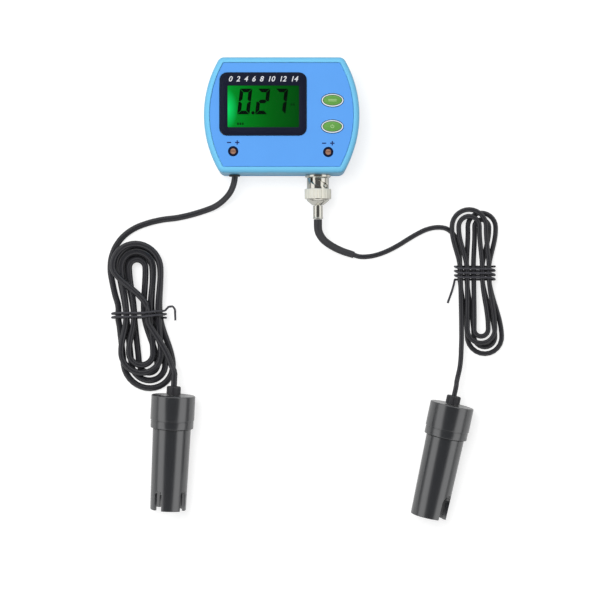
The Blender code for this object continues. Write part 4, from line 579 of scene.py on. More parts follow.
def digit_bars():
    """The seven bars of a digit, lettered as usual: the outer ones mitred at the corners, the middle one pointed."""
    width, height = DIGIT_SIZE
    stroke, gap = DIGIT_STROKE, DIGIT_GAP
    middle = height / 2
    inner = width - stroke - gap
    top = [(gap, height), (stroke + gap, height - stroke), (inner, height - stroke), (width - gap, height)]
    corner = [(0.0, height - gap), (0.0, middle + gap), (stroke / 2, middle + gap), (stroke, middle + stroke / 2 + gap),
              (stroke, height - stroke - gap)]
    half = [(stroke / 2 + gap, middle), (stroke + gap, middle - stroke / 2), (inner, middle - stroke / 2)]
    flip_x = [(width - x, y) for x, y in reversed(corner)]
    bars = {"a": top, "f": corner, "b": flip_x, "g": half + [(width - x, height - y) for x, y in half]}
    for letter, twin in (("d", "a"), ("e", "f"), ("c", "b")):
        bars[letter] = [(x, height - y) for x, y in reversed(bars[twin])]
    return bars


def make_digits():
    """The reading, its dot and the small faint marks, on the face of the crystal."""
    bars = digit_bars()
    shown = [[(x + DIGIT_LEFT + index * DIGIT_PITCH + DIGIT_LEAN * y, y + DIGIT_BASE) for x, y in bars[letter]]
             for index, digit in enumerate("027") for letter in SEGMENTS[digit]]
    shown.append(oval(DOT_PLACE, DOT_SIZE, steps=24))
    piece("display_digits", joined(*(printed(outline, LCD_Z) for outline in shown)), SEGMENT_BLACK, "case")
    marks = [rounded_rectangle((x + FAINT_PITCH * i, y), size, FAINT_ROUND, 2)
             for (x, y), size, count in FAINT_MARKS for i in range(count)]
    piece("display_marks", joined(*(printed(outline, LCD_Z) for outline in marks)), GHOST_GREEN, "case")


# ================================================================ controls
BUTTON_PROUD = 0.0011
BUTTON_DOME = 0.0006
BUTTON_ROOM = 0.00005
DOME_ARC = np.radians((12, 26, 42, 58, 74, 86))
DOME_FULLNESS = 0.8
BUTTON_PRINT_DEPTH = 3 * PRINT_THICKNESS
RING_LINE = ((0.0009, -0.0015), (0.0009, 0.0001), (0.00078, 0.00042), (0.00052, 0.0006), (0.00022, 0.00045),
             (0.0001, 0.0001), (0.0001, -0.0015))  # distance out from the button, and height over the face
MARK_ROUND = 0.00015
BAR_SIZE = (0.0046, 0.00035)
BAR_OFFSETS = (-0.0004, 0.0004)
POWER_ARC = np.radians(np.linspace(125, 415, 25))
POWER_RADII = (0.0010, 0.00068)
POWER_STROKE = (0.00034, 0.0012)
POWER_STROKE_RISE = 0.0007
ROTOR_BEVEL = 0.00006
SIGN_SIZE = (0.0023, 0.00062)  # a bar of the minus and plus signs over a trimmer
SIGN_SPREAD = 0.0022
SIGN_HEIGHT = 0.0047


def make_button(name, centre):
    """A domed oval button and the bright ring round it."""
    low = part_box(name + "_button")[0].z
    edge = FACE_Z + BUTTON_PROUD - BUTTON_DOME - 2 * PRINT_THICKNESS
    rings = [at(oval(centre, BUTTON_SIZE, -BUTTON_ROOM), z) for z in (low, edge)]
    for a in DOME_ARC:
        share = math.cos(a) ** DOME_FULLNESS
        size = (BUTTON_SIZE[0] * share, BUTTON_SIZE[1] * share)
        rings.append(at(oval(centre, size), edge + BUTTON_DOME * math.sin(a)))
    piece(name + "_button_cap", loft(rings), BUTTON_GREEN, name + "_button", [name + "_button"])
    ring = loft([at(oval(centre, BUTTON_SIZE, grow), FACE_Z + z) for grow, z in RING_LINE], capped=False)
    piece(name + "_button_bright_ring", ring, RING_CHROME, "case", [name + "_button_ring"])


def make_button_prints():
    """Two short bars on the upper button and a power sign on the lower one."""
    x, y = BUTTON_CENTRES["upper"]
    bars = [rounded_rectangle((x, y + step), BAR_SIZE, MARK_ROUND, 2) for step in BAR_OFFSETS]
    x, y = BUTTON_CENTRES["lower"]
    arc = [(x + radius * math.cos(a), y + radius * math.sin(a))
           for radius, turns in zip(POWER_RADII, (POWER_ARC, POWER_ARC[::-1])) for a in turns]
    stroke = rounded_rectangle((x, y + POWER_STROKE_RISE), POWER_STROKE, MARK_ROUND, 2)
    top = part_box("upper_button")[1].z - BUTTON_PRINT_DEPTH
    for name, outlines in (("upper", bars), ("lower", (arc, stroke))):
        print_on = joined(*(printed(outline, top, BUTTON_PRINT_DEPTH) for outline in outlines))
        piece(name + "_button_print", print_on, PRINT_PALE, name + "_button")


def make_trimmer(name, x, y):
    """A trimmer in its well, with a minus and a plus sign over it."""
    refined(name + "_trimmer_body", TRIMMER_NAVY)
    refined(name + "_trimmer_rotor", ROTOR_TAN, bevel=ROTOR_BEVEL)
    reach, half = SIGN_SIZE[0] / 2, SIGN_SIZE[1] / 2
    minus = rounded_rectangle((x - SIGN_SPREAD, y + SIGN_HEIGHT), SIGN_SIZE, half * 0.5, 2)
    plus = [(x + SIGN_SPREAD + u * c - v * s, y + SIGN_HEIGHT + u * s + v * c)
            for c, s in ((1, 0), (0, 1), (-1, 0), (0, -1)) for u, v in ((half, -half), (reach, -half), (reach, half))]
    piece(name + "_trimmer_print", joined(*(printed(outline, FACE_Z) for outline in (minus, plus))), PRINT_NAVY, "case")


def make_controls():
    for name, centre in BUTTON_CENTRES.items():
        make_button(name, centre)
    make_button_prints()
    for name, centre in TRIMMER_CENTRES.items():
        make_trimmer(name, *centre)


# ================================================================ connector
SOCKET_FLANGE = (0.0070, 0.0013)  # radius and thickness
SOCKET_RADIUS = 0.0048
SOCKET_REACH = 0.0096
SOCKET_BORE = 0.00405
SOCKET_FLOOR = 0.0018
SOCKET_INNER_REACH = 0.0090
INSULATOR_BORE = 0.0027
LUG_RADIUS = 0.00095
LUG_TIP_RADIUS = 0.0056
LUG_DISTANCE = 0.0064
LUG_ANGLE = math.radians(40)
LUG_ROOT = SOCKET_BORE + GAP
COLLAR_START = 0.0019
COLLAR_BORE = 0.0051
COLLAR_RADIUS = 0.0060
COLLAR_NECK = 0.0041
GRIP_START = 0.0079
GRIP_RADIUS = 0.0073
GRIP_FLUTES = 20
FLUTE_DEPTH = 0.00045
FLUTE_HALF_WIDTH = 0.22  # as a share of the way from flute to flute
COLLAR_END = 0.0134
COLLAR_BACK_WALL = 0.0011
SLOT_RADIUS = 0.00145
SLOT_TURN = math.radians(80)
SLOT_RUN = 0.0024
SLOT_PAST = math.radians(12)  # that the slot runs on behind the locked lug
PLUG_FLANGE = (0.0047, 0.0110)  # radius, and distance from the case's side
PLUG_NECK_RADIUS = 0.0038
PLUG_SLEEVE = (0.0037, 0.0030)
PLUG_SLEEVE_START = 0.0027
PLUG_CONE = (0.0064, 0.0137, 0.0031, 0.0167)  # radius and distance of its wide and of its narrow end
PLUG_CONE_LIP = (0.0006, 0.0008)  # how far in and back from its wide end the cone starts
PLUG_FLOOR = 0.0004  # behind the flange
SPRING_SLIT = (0.0004, 0.0040)
SPRING_SLIT_TURNS = np.radians((0, 45, 90, 135))
CRIMP_NECK_RADIUS = 0.0017
CRIMP_RADII = (0.0021, 0.0027, 0.0029)  # bore, sleeve and the rolled ring at its end
CRIMP_RING = (0.0008, 0.0006)  # how far before the end the ring's slope starts and ends
ROUND_STEPS = 96


def bayonet_slot(angle):
    """A cutter along a bayonet slot: in from the collar's mouth, then back along a helix to the locked lug."""
    turns = [(angle + SLOT_TURN, COLLAR_START - 2 * OVERCUT)]
    turns += [(angle + SLOT_TURN * (1 - t), LUG_DISTANCE - SLOT_RUN * (1 - t)) for t in np.linspace(0, 1, 24)]
    turns.append((angle - SLOT_PAST, LUG_DISTANCE))
    middle = (COLLAR_BORE + COLLAR_RADIUS) / 2
    path = [Vector((middle * math.cos(a), middle * math.sin(a), z)) for a, z in turns]
    rings = []
    for index, point in enumerate(path):
        along = (path[min(index + 1, len(path) - 1)] - path[max(index - 1, 0)]).normalized()
        outward = Vector((point.x, point.y, 0.0)).normalized()
        across = along.cross(outward)
        rings.append([point + (outward * math.cos(a) + across * math.sin(a)) * SLOT_RADIUS
                      for a in np.linspace(0, 2 * math.pi, 28, endpoint=False)])
    return loft(rings)


def fluted(bm):
    """Presses V-shaped flutes into the grip of the collar."""
    for vert in bm.verts:
        radius = math.hypot(vert.co.x, vert.co.y)
        if radius > COLLAR_RADIUS + FLUTE_DEPTH:
            place = math.atan2(vert.co.y, vert.co.x) / (2 * math.pi) * GRIP_FLUTES
            depth = FLUTE_DEPTH * max(0.0, 1 - abs(place - round(place)) / FLUTE_HALF_WIDTH)
            vert.co.xy *= 1 - depth / radius
    return bm


def make_collar():
    """The knurled coupling ring with its two bayonet slots, its grip paler than its bright front."""
    back = COLLAR_END - COLLAR_BACK_WALL
    line = eased([(COLLAR_NECK, COLLAR_END, 0.0), (GRIP_RADIUS, COLLAR_END, 2 * EDGE),
                  (GRIP_RADIUS, GRIP_START, 2 * EDGE), (COLLAR_RADIUS, GRIP_START, 0.0),
                  (COLLAR_RADIUS, COLLAR_START, SOFT_EDGE), (COLLAR_BORE, COLLAR_START, EDGE),
                  (COLLAR_BORE, back, 0.0), (COLLAR_NECK, back, 0.0)])
    slots = [bayonet_slot(LUG_ANGLE), bayonet_slot(LUG_ANGLE + math.pi)]
    collar = carved(fluted(lathe(line, 8 * GRIP_FLUTES)), slots, folded=True)
    made = piece("bnc_bayonet_collar", placed(collar, SOCKET_FRAME), NICKEL, "bnc_collar", ["bnc_collar"])
    made.data.materials.append(KNURL_CREAM)
    for face in made.data.polygons:
        x, _, z = face.center
        if math.hypot(x - SOCKET_X, z - PORT_Z) > COLLAR_RADIUS + EDGE:
            face.material_index = 1


def make_socket():
    """The socket with its flange on the case's side and its two lugs."""
    radius, thickness = SOCKET_FLANGE
    line = eased([(SOCKET_BORE, SOCKET_REACH, 0.0), (SOCKET_RADIUS, SOCKET_REACH, SOFT_EDGE),
                  (SOCKET_RADIUS, GAP + thickness, EDGE), (radius, GAP + thickness, SOFT_EDGE), (radius, GAP, 0.0),
                  (SOCKET_RADIUS, GAP, 0.0), (SOCKET_RADIUS, -SOCKET_INNER_REACH, SOFT_EDGE),
                  (INSULATOR_BORE, -SOCKET_INNER_REACH, 0.0), (INSULATOR_BORE, SOCKET_FLOOR, 0.0),
                  (SOCKET_BORE, SOCKET_FLOOR, 0.0)])
    parts = [lathe(line, ROUND_STEPS)]
    reach = LUG_TIP_RADIUS - LUG_ROOT
    lug = eased([(0.0, 0.0, 0.0), (LUG_RADIUS, 0.0, 0.0), (LUG_RADIUS, reach, EDGE), (0.0, reach, 0.0)])
    for angle in (LUG_ANGLE, LUG_ANGLE + math.pi):
        outward = Matrix.Rotation(angle, 4, "Z") @ Matrix.Translation((LUG_ROOT, 0.0, LUG_DISTANCE))
        parts.append(placed(lathe(lug, 32), outward @ Matrix.Rotation(math.pi / 2, 4, "Y")))
    piece("bnc_bayonet_socket", placed(joined(*parts), SOCKET_FRAME), NICKEL, "case", ["bnc_socket"])


def make_plug():
    """The plug's body, with its slit spring sleeve in front and its cone behind, and the crimped sleeve on the cord."""
    outer, inner = PLUG_SLEEVE
    flange, flange_z = PLUG_FLANGE
    wide, wide_z, narrow, narrow_z = PLUG_CONE
    lip_in, lip_back = PLUG_CONE_LIP
    ring_start, ring_end = CRIMP_RING
    wall = COLLAR_END - COLLAR_BACK_WALL - GAP
    line = eased([(0.0, CRIMP_END - ring_start, 0.0), (CRIMP_NECK_RADIUS, CRIMP_END - ring_start, EDGE),
                  (CRIMP_NECK_RADIUS, narrow_z, 0.0), (narrow, narrow_z, EDGE),
                  (wide - lip_in, wide_z + lip_back, 2 * EDGE), (wide, wide_z, EDGE),
                  (PLUG_NECK_RADIUS, wide_z, 0.0), (PLUG_NECK_RADIUS, wall, 0.0), (flange, wall, FINE_EDGE),
                  (flange, flange_z, FINE_EDGE), (outer, flange_z, 0.0), (outer, PLUG_SLEEVE_START, EDGE),
                  (inner, PLUG_SLEEVE_START, FINE_EDGE), (inner, flange_z + PLUG_FLOOR, 0.0),
                  (0.0, flange_z + PLUG_FLOOR, 0.0)])
    width, depth = SPRING_SLIT
    reach = outer + OVERCUT
    slits = [placed(block((-reach, -width / 2, PLUG_SLEEVE_START - OVERCUT),
                          (reach, width / 2, PLUG_SLEEVE_START + depth)), Matrix.Rotation(a, 4, "Z"))
             for a in SPRING_SLIT_TURNS]
    shell = placed(carved(lathe(line, ROUND_STEPS), slits), SOCKET_FRAME)
    piece("bnc_plug_shell", shell, NICKEL, "ph_lead", ["bnc_plug_body"])
    bore, radius, ring = CRIMP_RADII
    line = eased([(bore, CRIMP_END, 0.0), (ring, CRIMP_END, EDGE), (ring, CRIMP_END - ring_end, EDGE),
                  (radius, CRIMP_END - ring_start, FINE_EDGE), (radius, narrow_z + GAP, EDGE),
                  (bore, narrow_z + GAP, 0.0)])
    crimp = placed(lathe(line, ROUND_STEPS), SOCKET_FRAME)
    piece("bnc_crimp_sleeve", crimp, NICKEL, "ph_lead", ["bnc_crimp_ferrule"])


def make_connector():
    make_socket()
    make_collar()
    make_plug()
    refined("bnc_socket_insulator", PTFE)
    refined("tds_cord_grommet", RUBBER_BLACK)


# ================================================================ cords
CORD_STEP = 0.5  # diameters between the points of a free stretch
TDS_CORD = 0.0034
TDS_LEAD_ROUTE = (
    (-0.0259, -0.0262, 0.0135), (-0.0259, -0.0340, 0.0133), (-0.0277, -0.0394, 0.0105), (-0.0318, -0.0444, 0.0064),
    (-0.0375, -0.0483, 0.0031), (-0.0434, -0.0505, 0.0018), (-0.0500, -0.0525, 0.0017), (-0.0580, -0.0543, 0.0017),
    (-0.0660, -0.0553, 0.0017), (-0.0745, -0.0573, 0.0017), (-0.0822, -0.0604, 0.0017), (-0.0880, -0.0647, 0.0017),
    (-0.0923, -0.0705, 0.0017), (-0.0946, -0.0770, 0.0017), (-0.0950, -0.0835, 0.0019), (-0.0938, -0.0905, 0.0025),
    (-0.0923, -0.0970, 0.0031),
)
TDS_HANK = {
    "centre": (-0.0790, -0.1075),
    "pitch": 0.0043,
    "half_width": 0.0147,
    "upper_fold": 0.0255,
    "lower_fold": 0.0275,
    "waist_draw": 0.0022,
    "turns_per_layer": 2.5,
    "climb": (2.45, 2.67),
    "dwell": 0.12,
    "lean": 0.060,
    "upper_shift": (0.0, 0.0),
    "lower_shift": (0.0025, -0.0015),
    "lower_drop": (0.0, -0.0060),
    "tie_lift": 0.0021,
    "end_x": 0.0055,
    "exit_climb": (0.5, 0.3),  # turns left, between which the last run climbs over the others
    "exit_cross": (0.162, 0.012),  # and between which it crosses to its end
}
TDS_TAIL_BEND = (
    (-0.0716, -0.1150, 0.0124), (-0.0672, -0.1220, 0.0120), (-0.0632, -0.1290, 0.0118), (-0.0604, -0.1360, 0.0119),
)
TDS_PROBE_TOP = (-0.0594, -0.1519)
TDS_PROBE_TURN = math.radians(2.9)

PH_CORD = 0.0027
PH_SLEEVE_RADII = (0.0023, 0.0019)
PH_SLEEVE_ROUTE = (
    (0.0200, -0.0620, 0.0131), (0.0222, -0.0661, 0.0112), (0.0268, -0.0697, 0.0077), (0.0330, -0.0727, 0.0042),
    (0.0395, -0.0748, 0.0022),
)
PH_LEAD_ROUTE = (
    (0.0481, -0.0757, 0.0014), (0.0544, -0.0742, 0.0014),
    (0.0597, -0.0720, 0.0014), (0.0647, -0.0693, 0.0014), (0.0697, -0.0662, 0.0014), (0.0748, -0.0632, 0.0014),
    (0.0799, -0.0608, 0.0014), (0.0855, -0.0596, 0.0014), (0.0910, -0.0603, 0.0014), (0.0952, -0.0638, 0.0014),
    (0.0973, -0.0690, 0.0016), (0.0981, -0.0745, 0.0021),
)
PH_HANK = {
    "centre": (0.1062, -0.0855),
    "pitch": 0.00373,
    "half_width": 0.0105,
    "upper_fold": 0.0262,
    "lower_fold": 0.0345,
    "waist_draw": 0.0016,
    "turns_per_layer": 2.0,
    "climb": (1.84, 2.16),
    "dwell": 0.03,
    "lean": 0.010,
    "upper_shift": (0.0034, -0.0034),
    "lower_shift": (0.0048, 0.0022),
    "lower_drop": (0.0, -0.0040),
    "tie_lift": 0.0021,
    "end_x": None,
}
PH_TAIL_BEND = ((0.0986, -0.0960, 0.0062), (0.0989, -0.1100, 0.0060), (0.0988, -0.1240, 0.0070),
                (0.0978, -0.1365, 0.0092), (0.0958, -0.1450, 0.0112))
PH_PROBE_TOP = (0.0933, -0.1570)
PH_PROBE_TURN = math.radians(11.9)

TIE_RADIUS = 0.0006
TIE_GAP = 0.0008
TIE_STEP = 0.4  # radians, along a corner of its winding
TIE_KNOT_STEP = 0.0009
TIE_POINT_STEP = 0.0006
TDS_TIE_WINDING = (2, 0.0021)  # wraps, and how far each one advances
PH_TIE_WINDING = (3.5, -0.0024)
BOOT_STRAIGHT = 0.0030
BOOT_STEP = 0.0014
DOWN_PAGE = Vector((0.0, -1.0, 0.0))
TDS_TIE_HELD = ((0.0118, 0), (0.0118, 1), (0.0072, 2), (0.0048, 2), (-0.0114, 1), (-0.0114, 0))
PH_TIE_HELD = ((0.0082, 0), (0.0082, 1), (-0.0080, 1), (-0.0080, 0))
TDS_TIE_TAIL = ((0.0165, 0.0040, 0.0070), (0.0188, 0.0042, 0.0066), (0.0200, 0.0025, 0.0060), (0.0201, -0.0035, 0.0050))
PH_TIE_TAIL = ((-0.0114, -0.0062, 0.0030), (-0.0122, -0.0095, 0.0012), (-0.0136, -0.0135, 0.0007),
               (-0.0145, -0.0160, 0.0007))


def smooth_route(points, spacing, start_along=None, end_along=None):
    """A smooth curve through points, read off at even steps; the ends keep the given directions."""
    knots = [Vector(p) for p in points]
    lengths = [(b - a).length for a, b in zip(knots, knots[1:])]
    slopes = [(knots[1] - knots[0]).normalized()]
    for i in range(1, len(knots) - 1):
        before, after = lengths[i - 1], lengths[i]
        slope = (knots[i] - knots[i - 1]) / before * after + (knots[i + 1] - knots[i]) / after * before
        slopes.append(slope / (before + after))
    slopes.append((knots[-1] - knots[-2]).normalized())
    if start_along is not None:
        slopes[0] = start_along
    if end_along is not None:
        slopes[-1] = end_along
    fine = []
    for i, length in enumerate(lengths):
        for t in np.linspace(0, 1, 24, endpoint=False):
            fine.append(knots[i] * (2 * t**3 - 3 * t**2 + 1) + slopes[i] * length * (t**3 - 2 * t**2 + t)
                        + knots[i + 1] * (3 * t**2 - 2 * t**3) + slopes[i + 1] * length * (t**3 - t**2))
    fine.append(knots[-1])
    return even_steps(fine, spacing)


def even_steps(points, spacing):
    """Points at even steps along a polyline, both of its ends among them."""
    places = np.array([tuple(p) for p in points])
    run = np.concatenate([[0.0], np.cumsum(np.linalg.norm(np.diff(places, axis=0), axis=1))])
    count = max(2, round(run[-1] / spacing) + 1)
    marks = np.linspace(0, run[-1], count)
    return [tuple(np.interp(marks, run, places[:, axis])[i] for axis in range(3)) for i in range(count)]


def hank_point(hank, diameter, turn):
    """A point of a flat tied hank after so many turns. It starts at the waist on the left, going down, spirals in
    on the lower layer and out again on the upper one, and climbs along the run where the spiral reverses."""
    per_layer, pitch = hank["turns_per_layer"], hank["pitch"]
    layer = 0 if turn < per_layer else 1
    start, end = hank["climb"]
    spiral = turn if turn < per_layer else per_layer - max(turn - per_layer - hank["dwell"], 0.0)
    width = hank["half_width"] - pitch * spiral
    climb = min(max((turn - start) / (end - start), 0.0), 1.0)
    level = climb * climb * (3 - 2 * climb)
    upper = turn % 1.0 >= 0.5
    length = hank["upper_fold"] if upper else hank["lower_fold"] + hank["lower_drop"][layer]
    outward = 1.0 if upper else -1.0
    mean = hank["half_width"] - pitch * per_layer / 2
    total = 2 * length + math.pi * mean
    run = (turn % 0.5) * 2 * total
    angle = None
    if run < length:
        side, y = outward, outward * run
    elif run < total - length:
        side, y, angle = 0.0, outward * length, (run - length) / mean
    else:
        side, y = -outward, outward * (total - run)
    reach = 1.0 if angle is not None else abs(y) / length
    open_by = 0.5 - 0.5 * math.cos(math.pi * reach)
    if angle is None:
        x = side * (width - hank["waist_draw"] * (1 - open_by))
    else:
        x, y = outward * width * math.cos(angle), y + outward * width * math.sin(angle)
    shift = hank["upper_shift"][layer] if y > 0 else hank["lower_shift"][layer]
    x += pitch / 4 + shift * open_by - hank["lean"] * y
    z = diameter / 2 + hank["tie_lift"] * (1 - open_by) + level * pitch
    if hank["end_x"] is not None:
        x, z = leave_on_top(hank, turn, x, z, upper and run > total - length)
    return hank["centre"][0] + x, hank["centre"][1] + y, z


def leave_on_top(hank, turn, x, z, last_run):
    """The last run of the hank climbs once more and crosses the others, so that it leaves on the right."""
    left = 2 * hank["turns_per_layer"] - turn
    z += hank["pitch"] * done_between(left, hank["exit_climb"])
    if last_run:
        x += (hank["end_x"] - x) * done_between(left, hank["exit_cross"])
    return x, z


def done_between(left, stretch):
    """How much of a smooth change is done, from 0 to 1, as the turns left run down through a stretch."""
    share = min(max((stretch[0] - left) / (stretch[0] - stretch[1]), 0.0), 1.0)
    return share * share * (3 - 2 * share)


def hank_route(hank, diameter, per_turn=96):
    """The hank's whole route, its first and last diameter straight along the run."""
    turns = 2 * hank["turns_per_layer"]
    count = round(turns * per_turn)
    route = [hank_point(hank, diameter, turns * i / count) for i in range(count)]
    end = hank_point(hank, diameter, turns - 1e-6)
    first, last = Vector(route[0]), Vector(end)
    straight = Vector((0.0, -diameter, 0.0))
    route = [tuple(first), tuple(first + straight)] + [p for p in route[1:] if (Vector(p) - first).length > 2 * diameter
                                                      or p[1] > first.y]
    return route[:-1] + [tuple(last - straight), tuple(last)]


def tie_route(hank, diameter, held, winding, tail):
    """A wire tie wound round the waist of a hank, advancing along it where it crosses the top. The strands it runs
    round are (x, level), counter-clockwise from the lower right; its far end stands off the bundle."""
    wraps, pitch = winding
    reach = diameter / 2 + TIE_GAP + TIE_RADIUS
    centres = [(x, diameter / 2 + hank["tie_lift"] + level * hank["pitch"]) for x, level in held]
    turn = []
    for i, (x, z) in enumerate(centres):
        before, after = centres[i - 1], centres[(i + 1) % len(centres)]
        first = math.atan2(z - before[1], x - before[0]) - math.pi / 2
        last = math.atan2(after[1] - z, after[0] - x) - math.pi / 2
        last += 2 * math.pi if last < first else 0.0
        turn += [(x + reach * math.cos(a), z + reach * math.sin(a))
                 for a in np.linspace(first, last, 2 + round((last - first) / TIE_STEP))]
    turn.reverse()
    count = len(turn)
    across = [x for x, _ in turn]
    start = across.index(max(across))
    below = (across.index(min(across)) - start) % count
    route = []
    for i in range(round(wraps * count) + 1):
        x, z = turn[(start + i) % count]
        share = min(max((i % count - below) / (count - below), 0.0), 1.0)
        route.append((x, pitch * (i // count + share - wraps / 2), z))
    wound = [(hank["centre"][0] + x, hank["centre"][1] + y, z) for x, y, z in [*route, *tail]]
    return smooth_route(even_steps(wound, TIE_KNOT_STEP), TIE_POINT_STEP)


def tail_route(start, bend, frame_of, diameter):
    """From the hank to the bottom of the gland's socket, the last diameters along the probe's axis."""
    socket = frame_of @ Vector((0.0, 0.0, -GLAND_HEIGHT + GLAND_SOCKET - GAP))
    mouth = frame_of @ Vector((0.0, 0.0, -GLAND_HEIGHT - 2 * diameter))
    along = (socket - mouth).normalized()
    straight = start + DOWN_PAGE * diameter
    free = smooth_route([tuple(straight), *bend, tuple(mouth)], CORD_STEP * diameter, DOWN_PAGE, along)
    return [tuple(start), *free, tuple(socket)]


def cord_route(begin, leaving, hank, bend, frame_of, diameter):
    """A cord's whole route: its lead from the exit, the hank that it is tied in, and its tail into the probe."""
    wound = hank_route(hank, diameter)
    start = Vector(wound[0]) - DOWN_PAGE * GAP
    lead = [*begin, tuple(start - DOWN_PAGE * diameter), tuple(start)]
    end = Vector(wound[-1]) + DOWN_PAGE * GAP
    return [*smooth_route(lead, CORD_STEP * diameter, leaving, DOWN_PAGE), *wound,
            *tail_route(end, bend, frame_of, diameter)]


def boot_route():
    """The rubber boot on the pH cord, from the crimped sleeve down to the table."""
    mouth = SOCKET_FRAME @ Vector((0.0, 0.0, CRIMP_END + GAP))
    out = mouth + DOWN_PAGE * BOOT_STRAIGHT
    return [tuple(mouth), *smooth_route([tuple(out), *PH_SLEEVE_ROUTE], BOOT_STEP, DOWN_PAGE)]


def make_cords():
    """Each cord is one unbroken curve: out of the case or the plug, round its tied hank and into its probe."""
    route = cord_route(TDS_LEAD_ROUTE, DOWN_PAGE, TDS_HANK, TDS_TAIL_BEND, TDS_PROBE_FRAME, TDS_CORD)
    tds = tube("tds_cord", route, TDS_CORD / 2, CORD_BLACK, "case", ["tds_cord_lead", "tds_cord_hank", "tds_cord_tail"])
    tie = tie_route(TDS_HANK, TDS_CORD, TDS_TIE_HELD, TDS_TIE_WINDING, TDS_TIE_TAIL)
    tds_tie = tube("tds_cord_wire_tie", tie, TIE_RADIUS, TIE_BLACK, "case", ["tds_cord_tie"], sides=2)
    sleeve = boot_route()
    leaving = (Vector(sleeve[-1]) - Vector(sleeve[-2])).normalized()
    begin = Vector(sleeve[-1]) + leaving * GAP
    free = [tuple(begin), tuple(begin + leaving * PH_CORD), *PH_LEAD_ROUTE]
    route = cord_route(free, leaving, PH_HANK, PH_TAIL_BEND, PH_PROBE_FRAME, PH_CORD)
    ph = tube("ph_cord", route, PH_CORD / 2, CORD_BLACK, "ph_lead", ["ph_cord_lead", "ph_cord_hank", "ph_cord_tail"])
    boot = tube("ph_cord_boot", sleeve, np.linspace(*PH_SLEEVE_RADII, len(sleeve)), RUBBER_BLACK, "ph_lead",
                ["ph_cord_sleeve"])
    tie = tie_route(PH_HANK, PH_CORD, PH_TIE_HELD, PH_TIE_WINDING, PH_TIE_TAIL)
    ph_tie = tube("ph_cord_wire_tie", tie, TIE_RADIUS, TIE_BLACK, "ph_lead", ["ph_cord_tie"], sides=2)


# ================================================================ probes
PROBE_LENGTH = 0.0630
CAP_RADIUS = 0.0120
CAP_BAND = 0.0135
CAP_GROOVE = 0.0005
CAP_RING_RADIUS = 0.0117
CAP_LENGTH = 0.0180
CAP_TOP_WALL = 0.0026
CAP_EDGE = 0.0007
CAP_SEAM_DEPTH = 0.0006
NECK_RADIUS = 0.0094
SHOULDER_RADIUS = 0.0104
TIP_RADIUS = 0.0098
GUARD_BORE = 0.0080
GUARD_DEPTH = 0.0200
GLAND_RADIUS = 0.0039
GLAND_NECK_RADIUS = 0.0029
GLAND_HEIGHT = 0.0048
GLAND_SOCKET = 0.0035
GLAND_RIBS = 8
GLAND_RIB_DEPTH = 0.00035
GLAND_CHAMFER = (0.0004, 0.0005)
NOTCH_BEVEL = 0.00018
TDS_NOTCH = (0.0044, 0.0110)  # width and height
TDS_NOTCH_AZIMUTHS = (32, 122, 212, 302)
PH_NOTCH = (0.0092, 0.0140)
PH_NOTCH_AZIMUTHS = (30, 210)


def probe_frame(top, turn):
    """A probe lying on the table on the edge of its cap and on its tip: +Z runs from the cap's top to the tip."""
    drop = math.asin((CAP_RADIUS - TIP_RADIUS) / (PROBE_LENGTH - CAP_BAND))
    along = Vector((-math.sin(turn) * math.cos(drop), -math.cos(turn) * math.cos(drop), -math.sin(drop)))
    side = Vector((math.cos(turn), -math.sin(turn), 0.0))
    up = along.cross(side)
    turned_so = Matrix((side, up, along)).transposed().to_4x4()
    height = TIP_RADIUS * math.cos(drop) + PROBE_LENGTH * math.sin(drop)
    return Matrix.Translation((top[0], top[1], height)) @ turned_so


TDS_PROBE_FRAME = probe_frame(TDS_PROBE_TOP, TDS_PROBE_TURN)
PH_PROBE_FRAME = probe_frame(PH_PROBE_TOP, PH_PROBE_TURN)


def gland(frame_of, name, cord, body):
    """A rubber gland with moulded ribs, where the cord enters the cap."""
    bore = cord / 2 + GAP / 2
    inward, back = GLAND_CHAMFER
    line = eased([(bore, -GLAND_HEIGHT, 0.0), (GLAND_RADIUS - inward, -GLAND_HEIGHT, 0.0),
                  (GLAND_RADIUS, -GLAND_HEIGHT + back, SOFT_EDGE), (GLAND_RADIUS, -GAP, 0.0), (bore, -GAP, 0.0)])
    ring = lathe(line, 9 * GLAND_RIBS)
    for vert in ring.verts:
        angle = math.atan2(vert.co.y, vert.co.x)
        if math.hypot(vert.co.x, vert.co.y) > GLAND_RADIUS - inward - EDGE:
            ease = GLAND_RIB_DEPTH * max(0.0, math.cos(angle * 2 * GLAND_RIBS) * 1.6 - 0.4)
            vert.co.x -= ease * math.cos(angle)
            vert.co.y -= ease * math.sin(angle)
    piece(name + "_probe_cord_gland", placed(ring, frame_of), RUBBER_BLACK, body, [name + "_probe_gland"])


def notch_cutter(notch, azimuth):
    """A round-bottomed notch through the guard's wall, open at the tip."""
    width, height = notch
    low = PROBE_LENGTH - height + width / 2
    arc = [(width / 2 * math.cos(a), low + width / 2 * math.sin(a)) for a in np.linspace(math.pi, 2 * math.pi, 25)]
    end = PROBE_LENGTH + 2 * OVERCUT
    outline = [(width / 2, end), (-width / 2, end), *arc]
    stand = Matrix(((0, 0, 1, 0), (1, 0, 0, 0), (0, 1, 0, 0), (0, 0, 0, 1)))
    return placed(slab(outline, GUARD_BORE / 2, TIP_RADIUS + 2 * OVERCUT), Matrix.Rotation(azimuth, 4, "Z") @ stand)


